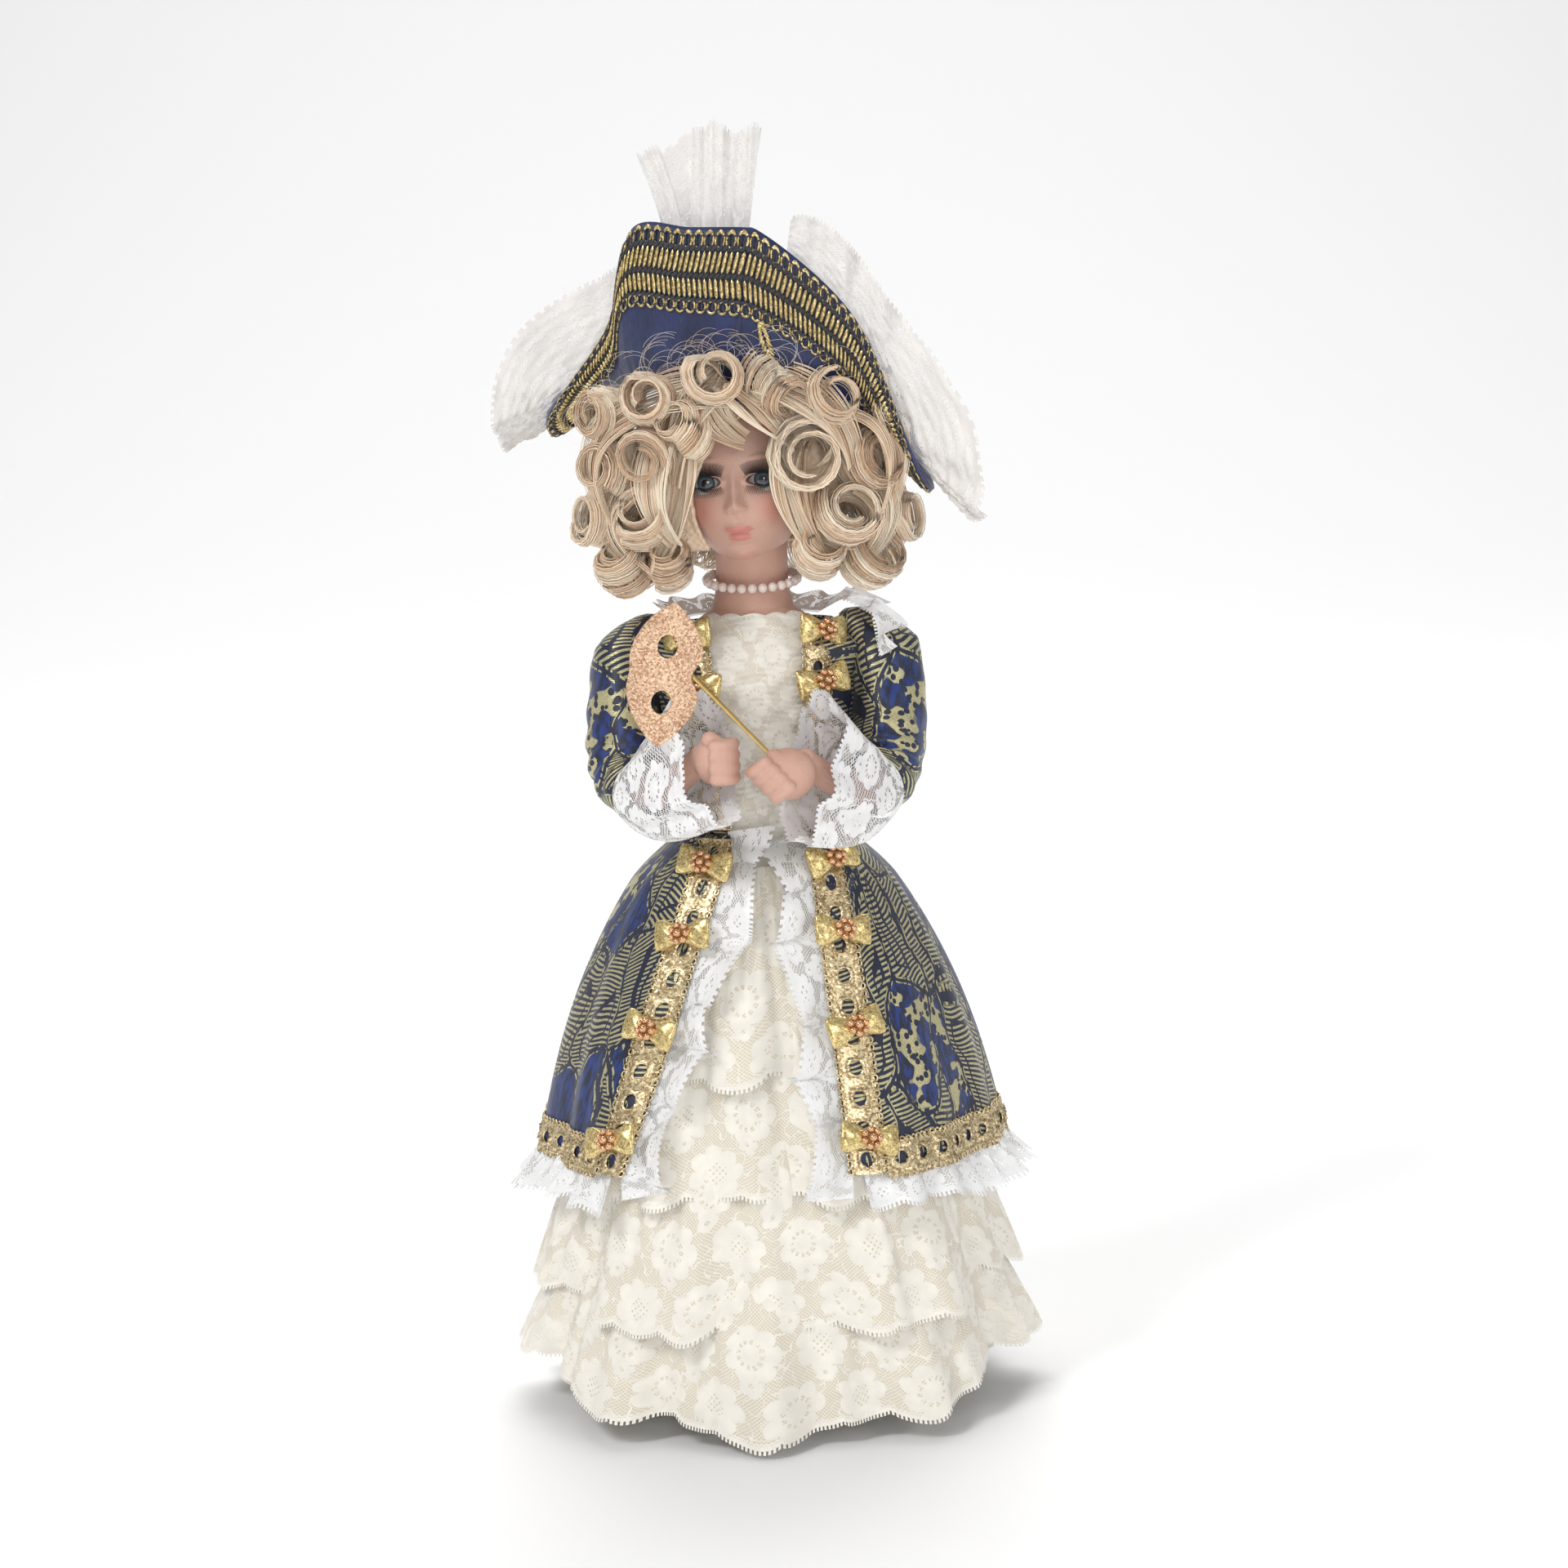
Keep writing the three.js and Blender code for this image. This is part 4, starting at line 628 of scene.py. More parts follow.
is_fruit = silk("MULTIPLY", silk("GREATER_THAN", kind, 0.80), silk("LESS_THAN", kind, 0.93))
is_speckled = silk("GREATER_THAN", kind, 0.93)
dot_place = brocade_web.nodes.new("ShaderNodeCombineXYZ")
fill(brocade_web, dot_place, (u, v, 0.0))
dots = silk("GREATER_THAN", leaf_cells("F1", "Distance", dot_place.outputs[0], 0.42), 0.42)
fine = cloudy(brocade_web, brocade_in["Place"], 1500, 1)
speckle = silk("GREATER_THAN", fine, 0.53)
ribbed_gold = silk("MULTIPLY", is_ribbed, silk("MULTIPLY", ribs, silk("MULTIPLY", inside_leaf, veins)))
blots = between(brocade_web, cloudy(brocade_web, brocade_in["Place"], 130, 1), 0.50, 0.53)
fruit_gold = silk("MULTIPLY", is_fruit, silk("MULTIPLY", silk("MULTIPLY", dots, blots), inside_leaf))
edging = silk("MULTIPLY", silk("GREATER_THAN", leaf_rim, 0.022), silk("LESS_THAN", leaf_rim, 0.045))
edge_gold = silk("MULTIPLY", edging, silk("GREATER_THAN", broken, 0.5))
gold = silk("MINIMUM", silk("ADD", silk("ADD", ribbed_gold, fruit_gold), edge_gold), 1.0)
grey = silk("MULTIPLY", is_speckled, silk("MULTIPLY", speckle, inside_leaf))
blue_spots = silk("ADD", is_blue, silk("MULTIPLY", is_fruit, silk("SUBTRACT", 1.0, blots)))
blue_streaks = between(brocade_web, broken, 0.40, 0.62)
blue_share = silk("MULTIPLY", silk("MULTIPLY", blue_spots, inside_leaf), blue_streaks)
ground = blend_colour(brocade_web, broken, (0.004, 0.006, 0.02), (0.010, 0.016, 0.055))
with_blue = blend_colour(brocade_web, blue_share, ground, (0.010, 0.036, 0.19))
with_grey = blend_colour(brocade_web, grey, with_blue, (0.14, 0.16, 0.19))
gold_thread = blend_colour(brocade_web, fine, (0.30, 0.27, 0.13), (0.76, 0.70, 0.42))
brocade_web.links.new(blend_colour(brocade_web, gold, with_grey, gold_thread), brocade_out["Colour"])
brocade_web.links.new(silk("MULTIPLY", gold, 0.55), brocade_out["Gold"])
threads = silk("SINE", silk("MULTIPLY", v, 2 * math.pi / 0.5))
raised_silk = silk("ADD", silk("MULTIPLY", gold, 0.9), silk("MULTIPLY", threads, 0.12))
brocade_web.links.new(raised_silk, brocade_out["Height"])

brocade, tree = new_finish("leaf brocade", roughness=0.42, sheen_weight=0.15)
silk_out = use_group(tree, brocade_web, surface_place(tree, "UV"))
wire_finish(tree, base_color=silk_out["Colour"], metallic=silk_out["Gold"], height=silk_out["Height"])

COLLAR = 238
COAT_HEM = 79
# heights, half widths and half depths
UPPER_BODY = np.array(
    [(163, 23, 19), (172, 21.5, 17), (200.5, 24, 18.8), (216, 25.2, 18.6), (229, 24.4, 16.4),
     (236, 18.05, 13.37), (241, 11.8, 11.2)]
)


def body_half(z, ease):
    return [np.interp(z, UPPER_BODY[:, 0], UPPER_BODY[:, k]) + ease for k in (1, 2)]


def body_place(theta, z, ease):
    half_width, half_depth = body_half(z, ease)
    return half_width * np.sin(theta), -half_depth * np.cos(theta), z


def front_edge(side, z):
    """How far to the side each front edge of the coat lies at a height."""
    hem, waist, collar = (-43, -9, -14.5) if side < 0 else (23.5, 14, 15)
    return np.interp(z, (COAT_HEM, WAIST, COLLAR), (hem, waist, collar))


def bodice_angle(side, z, ease=2.9):
    return np.arcsin(np.clip(front_edge(side, z) / body_half(z, ease)[0], -0.9, 0.9))


def bodice_place(u, v):
    z = mix(175, 237, v)
    theta = mix(bodice_angle(1, z), 2 * math.pi + bodice_angle(-1, z), u)
    crease = 0.35 * np.sin(0.5 * z + 6 * theta) * np.sin(theta / 2) ** 2
    x, y, z = body_place(theta, z, 2.9 + crease)
    shoulder = 7.0 * np.exp(-(((z - 229) / 6.5) ** 2)) + 2.2 * smooth_step(z, 180, 200)
    return x + np.sign(x) * shoulder * np.abs(np.sin(theta)) ** 5, y, z


brocade_look = brocade, "brocade"
sew("brocade_bodice", (140, 50), bodice_place, (118, 62), brocade_look, "figure", "coat_bodice",
    wall=0.8)


def coat_ease(z):
    share = np.clip((WAIST - z) / (WAIST - COAT_HEM), 0, 1)
    return 3.4 + 12.4 * share**0.8


def coat_angle(side, z):
    return np.arcsin(np.clip(front_edge(side, z) / (skirt_radius(z) + coat_ease(z)), -0.98, 0.98))


def coat_place(theta, z, lift):
    share = np.clip((WAIST - z) / (WAIST - COAT_HEM), 0, 1)
    hip = 4.0 * np.sin(math.pi * np.clip(share, 0, 1)) * np.sin(theta) ** 2
    fall = 3.0 * share * folds(theta, 8, 0.7)
    return round_place(theta, skirt_radius(z) + coat_ease(z) + hip + fall + lift, z)


def coat_skirt_place(u, v):
    z = mix(COAT_HEM, WAIST + 3, v)
    return coat_place(mix(coat_angle(1, z), 2 * math.pi + coat_angle(-1, z), u), z, 0)


sew("brocade_skirt", (260, 60), coat_skirt_place, (330, 96), brocade_look, "figure", "coat_skirt",
    wall=0.8)


# Each sleeve is one shaped tube of the brocade, set in at the shoulder and bent at the elbow, where it creases.
class Arm:
    """The line of one arm from the shoulder, round the elbow, to the wrist."""

    def __init__(self, side, wrist):
        shoulder = np.array((side * 38.3, 0, 229.0))
        corner = np.array((side * 43.8, -11, 175.0))
        wrist = np.array(wrist, float)
        self.knots = shoulder, mix(shoulder, corner, 0.8), mix(wrist, corner, 0.72), wrist
        across = np.cross(corner - shoulder, wrist - corner)
        self.across = across / np.linalg.norm(across) * np.sign(across[1])

    def ring(self, t, angle, wide, deep):
        """A place on a ring round the arm: wide in the arm's own plane, deep across it."""
        a, b, c, d = (knot[:, None] for knot in self.knots)
        s = np.clip(t, 0, 1)
        middle = (1 - s) ** 3 * a + 3 * s * (1 - s) ** 2 * b + 3 * s**2 * (1 - s) * c + s**3 * d
        forward = 3 * (1 - s) ** 2 * (b - a) + 6 * s * (1 - s) * (c - b) + 3 * s**2 * (d - c)
        forward = forward / np.linalg.norm(forward, axis=0)
        middle = middle + forward * (t - s) * 70
        middle[0] -= np.sign(a[0]) * 48 * np.maximum(0, -t)
        sideways = np.cross(forward.T, self.across).T
        return middle + self.across[:, None] * deep * np.cos(angle) + sideways * wide * np.sin(angle)


ARMS = {"left": Arm(1, (17, -39, 196)), "right": Arm(-1, (-19, -37, 198))}

# places along the arm, and the sleeve's radius at each
SLEEVE = np.array(
    [(-0.15, 2.0), (-0.135, 4.6), (-0.1, 7.4), (-0.04, 9.6), (0.04, 10.6), (0.3, 11.0), (0.52, 10.6),
     (0.66, 8.6)]
)
for word, line in ARMS.items():
    def sleeve_place(u, v, line=line):
        t = mix(0.66, -0.15, v)
        angle = -2 * math.pi * u
        radius = np.interp(t, SLEEVE[:, 0], SLEEVE[:, 1])
        elbow = np.exp(-(((t - 0.45) / 0.2) ** 2))
        crease = (0.4 + 0.9 * elbow) * np.sin(60 * t + 2.5 * np.sin(angle)) * (0.5 + 0.5 * np.cos(angle + 2.0))
        full = radius + 0.6 * crease + 0.5 * np.sin(3 * angle + 9 * t)
        return line.ring(t, angle, full, full)

    sew(f"brocade_sleeve_{word}", (72, 110), sleeve_place, (63, 68), brocade_look, f"{word}_arm",
        f"coat_sleeve_{word}", closed=True, wall=0.7)


# Under each sleeve is an upper arm of the same stuffed muslin, and each leg wears a loose pantaloon of fine
# white lawn, gathered at the hip and above the knee.
for word, line in ARMS.items():
    rings = []
    for t, radius in ((-0.09, 3.0), (0.0, 5.8), (0.16, 6.4), (0.34, 6.4), (0.46, 6.1), (0.55, 5.5)):
        middle = line.ring(np.array([t]), 0.0, 0.0, 0.0)[:, 0]
        wide = line.ring(np.array([t]), math.pi / 2, radius, 0.0)[:, 0] - middle
        rings.append((middle, wide, line.across * radius))
    stuffed_limb(f"stuffed_upper_arm_{word}", f"cloth_upper_arm_{word}", f"{word}_arm", rings)

white_lawn, tree = new_finish("white lawn", roughness=0.85, sheen_weight=0.3)
place = surface_place(tree, "UV")
wire_finish(
    tree,
    base_color=blend_colour(tree, cloudy(tree, place, 500, 3), (0.78, 0.76, 0.72), (0.90, 0.89, 0.86)),
    height=use_group(tree, weave, place, pitch=0.35)["Height"],
)
for word, side in SIDES.items():
    def pantaloon_place(u, v, side=side):
        theta = 2 * math.pi * u
        gather = np.cos(math.pi * v) ** 4
        full = 12.0 - 1.6 * gather + (0.45 + 0.35 * gather) * np.sin(17 * theta + 2 * np.sin(3 * theta))
        puff = 0.7 * np.sin(3 * theta + 5 * v)
        radius = full + puff * np.sin(math.pi * v)
        return side * HIP_SPREAD + radius * np.sin(theta), -radius * np.cos(theta), mix(74.3, 151, v)

    sew(f"lawn_pantaloon_{word}", (140, 50), pantaloon_place, (92, 82), (white_lawn, "white_lace"),
        f"{word}_leg", f"pantaloon_{word}", closed=True)


# The bib is an oval of cream flowered net over the chest, tacked inside the coat, with a scalloped top.
bib_lace = lace_finish("cream bib lace", (0.88, 0.82, 0.71), (0.94, 0.90, 0.82), 15.0, 0.9, veil=0.8)


def bib_place(u, v):
    top = 239.5 + 0.8 * np.abs(np.sin(u * math.pi * 5))
    z = mix(170, top, v)
    right = bodice_angle(-1, z, 1.4)
    left = bodice_angle(1, z, 1.4)
    theta = mix(mix(right, left, -0.02), mix(right, left, 1.02), u)
    ruck = 0.35 * np.sin(z * 1.1 + 5 * u) * np.sin(19 * u + 0.2 * z) + 0.3 * np.sin(z * 3.6 + 3 * np.sin(9 * u))
    return body_place(theta, z, 1.7 + ruck)


sew("flowered_bib", (70, 110), bib_place, (34, 70), (bib_lace, "ivory_lace"), "figure", "lace_bib")


# The coat is edged with gold gimp, a crocheted metal braid about 10 mm wide: a row of eyelets, each with a
# raised rim, between two edges of small loops. It runs down both lapels and both fronts, and round the hem.
metal_sparkle, sparkle_in, sparkle_out = new_group(
    "metal sparkle",
    [("Place", PLACE, None), ("Scale", NUMBER, 1500.0)],
    [("Shade", NUMBER), ("Height", NUMBER)],
)
flakes = metal_sparkle.nodes.new("ShaderNodeTexVoronoi")
metal_sparkle.links.new(sparkle_in["Place"], flakes.inputs["Vector"])
metal_sparkle.links.new(sparkle_in["Scale"], flakes.inputs["Scale"])
flake_colour = metal_sparkle.nodes.new("ShaderNodeSeparateColor")
metal_sparkle.links.new(flakes.outputs["Color"], flake_colour.inputs[0])
metal_sparkle.links.new(flake_colour.outputs[0], sparkle_out["Shade"])
metal_sparkle.links.new(flake_colour.outputs[1], sparkle_out["Height"])


def metal_finish(name, dark, light, scale, roughness=0.32, metallic=0.75):
    finish, tree = new_finish(name, roughness=roughness, metallic=metallic)
    sparkle = use_group(tree, metal_sparkle, surface_place(tree, "Object"), scale=scale)
    wire_finish(tree, base_color=blend_colour(tree, sparkle["Shade"], dark, light), height=sparkle["Height"])
    return finish


gold_gimp = metal_finish("gold gimp", (0.30, 0.20, 0.09), (0.97, 0.82, 0.52), 1700.0)

EYELET_PITCH = 8.4
GIMP_WIDTH = 9.6


def gimp_cell(u, v):
    """One eyelet and the braid round it."""
    angle = 2 * math.pi * u
    level, upright = (np.maximum(np.abs(part), 1e-6) for part in (np.cos(angle), np.sin(angle)))
    corner = np.minimum(1 / level, 1 / upright)
    hole = np.stack((2.0 * np.cos(angle), 1.7 * np.sin(angle)))
    rim = np.stack((corner * EYELET_PITCH / 2 * np.cos(angle), corner * GIMP_WIDTH / 2 * np.sin(angle)))
    flat = mix(hole, rim, v)
    raised = 0.75 * np.exp(-(((v - 0.14) / 0.12) ** 2)) + 0.3 * np.sin(flat[0] * 4.5) * np.sin(flat[1] * 3.7)
    return flat[0], flat[1] + GIMP_WIDTH / 2, raised * (v > 0.01)


cell = shape_cloth("gimp_cell", 40, 7, gimp_cell, (10, 10), closed=True)
loops = []
for k in range(4):
    for edge in (0, GIMP_WIDTH):
        at = ((k - 1.5) * EYELET_PITCH / 4 / 1000, edge / 1000, 0)
        bpy.ops.mesh.primitive_torus_add(
            location=at, major_radius=0.00085, minor_radius=0.0003, major_segments=10, minor_segments=5
        )
        loops.append(bpy.context.active_object)
        bpy.ops.object.shade_smooth()


def join_pieces(name, pieces):
    bpy.ops.object.select_all(action="DESELECT")
    for piece in pieces:
        piece.select_set(True)
    bpy.context.view_layer.objects.active = pieces[0]
    bpy.ops.object.join()
    pieces[0].name = pieces[0].data.name = name
    return pieces[0]


gimp = join_pieces("gimp", [cell, *loops])


def points_of(mesh):
    points = np.empty(len(mesh.vertices) * 3)
    mesh.vertices.foreach_get("co", points)
    return points.reshape(-1, 3) * 1000


def repeat(name, pattern, places, smooth=True):
    """Copies of one small shape in one mesh. Each place moves the shape's points, in millimetres."""
    points = points_of(pattern.data)
    faces = [tuple(face.vertices) for face in pattern.data.polygons]
    all_points = np.concatenate([place(points) for place in places]) / 1000
    all_faces = [tuple(k + n * len(points) for k in face) for n in range(len(places)) for face in faces]
    mesh = bpy.data.meshes.new(name)
    mesh.from_pydata(all_points.tolist(), [], all_faces)
    mesh.polygons.foreach_set("use_smooth", np.full(len(mesh.polygons), smooth))
    copies = bpy.data.objects.new(name, mesh)
    bpy.context.collection.objects.link(copies)
    return copies


def dress(piece, material, body, nodes=()):
    if not piece.data.materials:
        piece.data.materials.append(material)
    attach(piece, body)
    if nodes:
        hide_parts(*nodes)


def lay_gimp(name, length, surface, node, flipped=False):
    """Gimp of a length, laid where surface(along, across, lift) says."""
    count = round(length / EYELET_PITCH)
    stretch = length / (count * EYELET_PITCH)

    def shifted(k):
        def place(points):
            along = ((k + 0.5) * EYELET_PITCH + points[:, 0]) * stretch
            return np.stack(surface(along, points[:, 1], points[:, 2]), 1)
        return place

    trim = repeat(name, gimp, [shifted(k) for k in range(count)])
    if flipped:
        trim.data.flip_normals()
    dress(trim, gold_gimp, "figure", [node])


for word, side in SIDES.items():
    def lapel_place(along, across, lift, side=side):
        z = 236.5 - along
        ease = 4.3 + lift
        half_width, _ = body_half(z, ease)
        return body_place(bodice_angle(side, z, ease) + side * across / half_width, z, ease)

    def front_place(along, across, lift, side=side):
        z = WAIST + 2 - along
        radius = skirt_radius(z) + coat_ease(z)
        return coat_place(coat_angle(side, z) + side * across / radius, z, 1.0 + lift)

    lay_gimp(f"lapel_gimp_{word}", 60, lapel_place, f"lapel_trim_{word}", flipped=side > 0)
    front_length = WAIST + 2 - COAT_HEM
    lay_gimp(f"front_gimp_{word}", front_length, front_place, f"coat_front_trim_{word}", flipped=side > 0)

HEM_SPAN = 2 * math.pi + coat_angle(-1, 85.0) - coat_angle(1, 85.0)
HEM_RADIUS = 62.0


def hem_place(along, across, lift):
    z = COAT_HEM - 0.6 + across
    inset = (GIMP_WIDTH + 0.6) / (skirt_radius(z) + coat_ease(z))
    start = coat_angle(1, z) + inset
    end = 2 * math.pi + coat_angle(-1, z) - inset
    return coat_place(mix(start, end, along / (HEM_SPAN * HEM_RADIUS)), z, 1.0 + lift)


lay_gimp("hem_gimp", HEM_SPAN * HEM_RADIUS, hem_place, "coat_hem_trim")
bpy.data.objects.remove(gimp)


# White lace is gathered down the inside of both coat fronts, where its free edge meanders, under the hem,
# round the back of the collar, and onto the sleeves' ends as two trumpet cuffs.
white_lace = lace_finish("white lace", (0.82, 0.82, 0.83), (0.94, 0.94, 0.94), 11.0, 1.05, veil=0.3)
cuff_lace = lace_finish("cuff lace", (0.84, 0.83, 0.83), (0.94, 0.93, 0.93), 14.0, 1.3, veil=0.08)

white_look = white_lace, "white_lace"
cuff_look = cuff_lace, "white_lace"
for word, side in SIDES.items():
    def front_lace_place(u, v, side=side):
        inward = 1 - v
        z = mix(72, 176, u if side < 0 else 1 - u)
        wander = 2 * math.pi * z / 17 + 1.3 * np.sin(z / 9 + side) + side
        lateral = inward * (13.0 + 3.2 * np.sin(wander * 0.5))
        lift = -1.0 + inward * (3.6 + 3.4 * np.cos(wander))
        height = z + inward * 3.4 * np.sin(wander)
        radius = skirt_radius(height) + coat_ease(height)
        return coat_place(coat_angle(side, z) + side * (1.0 - lateral) / radius, height, lift)

    sew(f"front_ruffle_{word}", (240, 14), front_lace_place, (118, 17), white_look, "figure",
        f"coat_front_lace_{word}")


HEM_LACE_CUT = (430, 17)


def hem_lace_place(u, v):
    hang = 1 - v
    theta = mix(coat_angle(1, 79.0) + 0.06, 2 * math.pi + coat_angle(-1, 79.0) - 0.06, u)
    wave = np.sin(34 * theta + 1.6 * np.sin(5 * theta))
    drop = 16 + 1.6 * np.abs(np.sin(math.pi * u * HEM_LACE_CUT[0] / 11)) + 2 * np.sin(7 * theta)
    z = 85 - hang * drop
    flare = 5.0 + 6.0 * np.sin(theta) ** 4
    lift = -2.2 + flare * hang**1.5 + 2.3 * hang * wave
    return coat_place(theta, np.maximum(z, 79.0), lift)[:2] + (z,)


sew("hem_ruffle", (620, 12), hem_lace_place, HEM_LACE_CUT, white_look, "figure", "coat_hem_lace")


def collar_lace_place(u, rise):
    end = np.abs(2 * u - 1) ** 8
    theta = mix(0.62, 2 * math.pi - 0.62, u)
    wave = np.sin(19 * theta + 1.5 * np.sin(4 * theta))
    half_width, half_depth = body_half(237.0, 3.6 + 9 * rise + 0.8 * rise * wave)
    z = 238.2 + 5 * rise + 0.6 * rise * wave - 8 * end * rise
    over_shoulder = 1 - smooth_step(u, 0.16, 0.26)
    strip = [np.interp(u, (0, 0.1, 0.2), knots) for knots in ((37, 35, 24), (-14.5, -16, -12), (226, 239, 245))]
    strip_x = strip[0] + rise * (6 - 4 * wave)
    strip_y = strip[1] - rise * (1.5 + 1.5 * wave)
    strip_z = strip[2] + rise * (3 + 2 * wave)
    return (
        mix(half_width * np.sin(theta), strip_x, over_shoulder),
        mix(-half_depth * np.cos(theta), strip_y, over_shoulder),
        mix(z, strip_z, over_shoulder),
    )


sew("collar_ruffle", (300, 12), collar_lace_place, (136, 12), white_look, "figure", "collar_lace")

CUFF_REACH = {"left": 0.43, "right": 0.50}
for word, line in ARMS.items():
    cuff_cut = (90, 100 * CUFF_REACH[word])

    def cuff_place(u, v, line=line, reach=CUFF_REACH[word]):
        out = 1 - v
        angle = -2 * math.pi * u
        scallop = 0.018 * np.abs(np.sin(math.pi * u * 7))
        t = 0.605 + (reach + scallop) * out + 0.025 * out * np.sin(3 * angle)
        wave = out**1.2 * (1.5 * np.sin(7 * angle + 1) + 0.8 * np.sin(12 * angle))
        wide = np.interp(out, (0, 0.35, 1), (10.6, 16.0, 23.5)) + wave
        deep = np.interp(out, (0, 0.35, 1), (10.6, 11.0, 10.0)) + wave
        return line.ring(t, angle, wide, deep)

    sew(f"lace_cuff_cloth_{word}", (260, 40), cuff_place, cuff_cut, cuff_look, f"{word}_arm",
        f"lace_cuff_{word}", closed=True)


# Twelve gold lame bows are pinned down the coat, each a flat double loop of ribbon with a flower of seven
# copper-gold beads round an eighth sewn over its pinched middle.
BOW_HALF = 9.2


def bow_place(u, v):
    x = (2 * v - 1) * BOW_HALF
    out = np.abs(x) / BOW_HALF
    angle = 2 * math.pi * u
    height = 4.6 * (0.36 + 0.64 * np.clip(out * 1.5, 0, 1) ** 0.8) * np.clip((1 - out) / 0.06, 0, 1) ** 0.35
    depth = 0.35 + 1.5 * np.sin(math.pi * np.clip(out, 0.02, 0.995)) ** 0.6
    crease = 0.28 * np.sin(5 * angle + 1.1 * x) * (1 - 0.6 * out)
    closing = np.clip((1 - out) / 0.04, 0, 1) ** 0.5
    return x, height * np.sin(angle), 2.2 + (depth + crease) * np.cos(angle) * closing


bow = shape_cloth("bow_pattern", 40, 44, bow_place, (20, 17), closed=True)
bow.data.flip_normals()
gold_lame = metal_finish("gold lame", (0.42, 0.28, 0.08), (1.0, 0.83, 0.42), 2400.0, roughness=0.3)
bead_gold = clouded_finish(
    "copper gold bead", (0.55, 0.27, 0.12), (0.90, 0.58, 0.36), 700, roughness=0.2, metallic=0.8
)
bpy.ops.mesh.primitive_uv_sphere_add(segments=12, ring_count=8, radius=0.001)
bead = bpy.context.active_object
bead.name = "bead_pattern"


def sphere_at(centre, radius):
    return lambda points: np.array(centre) + points * radius


bead_spots = [(2.5 * math.cos(k * math.tau / 7), 2.5 * math.sin(k * math.tau / 7), 4.4) for k in range(7)]
bead_places = [sphere_at(at, 1.1) for at in bead_spots] + [sphere_at((0, 0, 5.1), 1.25)]
bead_flower = repeat("bead_flower_pattern", bead, bead_places)


def stand_on_coat(at, outward, lean):
    front = np.array(outward) / np.linalg.norm(outward)
    level = np.cross((0, 0, 1), front)
    level /= np.linalg.norm(level)
    basis = np.stack((level, np.cross(front, level), front))
    turn = np.array(((math.cos(lean), math.sin(lean), 0), (-math.sin(lean), math.cos(lean), 0), (0, 0, 1)))
    return lambda points: np.array(at) + points @ turn @ basis


def place_bow(name, at, outward, lean, node):
    where = stand_on_coat(at, outward, lean)
    dress(repeat(name, bow, [where]), gold_lame, "figure", [node])
    dress(repeat(f"{name}_beads", bead_flower, [where]), bead_gold, "figure")


for word, side in SIDES.items():
    for k, z in enumerate((234.5, 220)):
        half_width, half_depth = body_half(z, 5.6)
        theta = math.asin((front_edge(side, z) + side * 4.2) / half_width)
        outward = (math.sin(theta) / half_width, -math.cos(theta) / half_depth, 0.006)
        lean = side * (0.12 if k else -0.15)
        place_bow(f"bow_{word}_{k}", body_place(theta, z, 5.6), outward, lean, f"bow_{word}_{k + 1}")
    for k, z in enumerate((167.4, 147.8, 120.9, 89.2)):
        theta = float(coat_angle(side, z) + side * 4.8 / (skirt_radius(z) + coat_ease(z)))
        at = coat_place(theta, z, 2.0)
        outward = (math.sin(theta), -math.cos(theta) * 1.1, 0.35)
        place_bow(f"bow_{word}_{k + 2}", at, outward, side * (0.14, -0.1, 0.18, -0.2)[k], f"bow_{word}_{k + 3}")
bpy.data.objects.remove(bow)
bpy.data.objects.remove(bead_flower)


# A single strand of pearls, 3 mm glass beads with a pinkish cream coat, strung round the neck.
pearl_coat = clouded_finish(
    "pearl coat", (0.80, 0.66, 0.60), (0.90, 0.82, 0.77), 500,
    roughness=0.22, coat_weight=0.7, coat_roughness=0.1
)


def on_necklace(turn, radius=12.8):
    x, y = radius * 1.06 * math.sin(turn), -radius * math.cos(turn)
    return x, y * math.cos(0.16) - 0.6, y * math.sin(0.16) + 249.6


PEARLS = 27
pearls = repeat("pearls", bead, [sphere_at(on_necklace(k * math.tau / PEARLS), 1.48) for k in range(PEARLS)])
dress(pearls, pearl_coat, "figure", ["pearl_necklace"])
bpy.data.objects.remove(bead)


# Both forearms are bisque, matt and flesh-tinted, cast with small closed hands: the left one is a fist with a
# hole for the mask's stick, and the right one's fingers rest against it.
def bisque_finish(name):
    return new_finish(name, roughness=0.45, subsurface_weight=0.12, subsurface_radius=(0.003, 0.001, 0.0006))


hand_bisque, tree = bisque_finish("hand bisque")
mottle = use_group(tree, bisque_mottle, surface_place(tree, "Object"))
flesh = blend_colour(tree, mottle["Shade"], FLESH_DEEP, FLESH_PALE)
wire_finish(tree, base_color=flesh, height=mottle["Height"])


def shaped_ball(at, size, lean=0.0, segments=8, rings=6):
    bpy.ops.mesh.primitive_uv_sphere_add(segments=segments, ring_count=rings, radius=0.001)
    ball = bpy.context.active_object
    turn = Matrix.Rotation(lean, 3, "Z")
    for corner in ball.data.vertices:
        corner.co = Vector(at) / 1000 + turn @ Vector(c * s for c, s in zip(corner.co, size))
    return ball


def clay_ball(at, size):
    return shaped_ball(at, size, segments=24, rings=16)


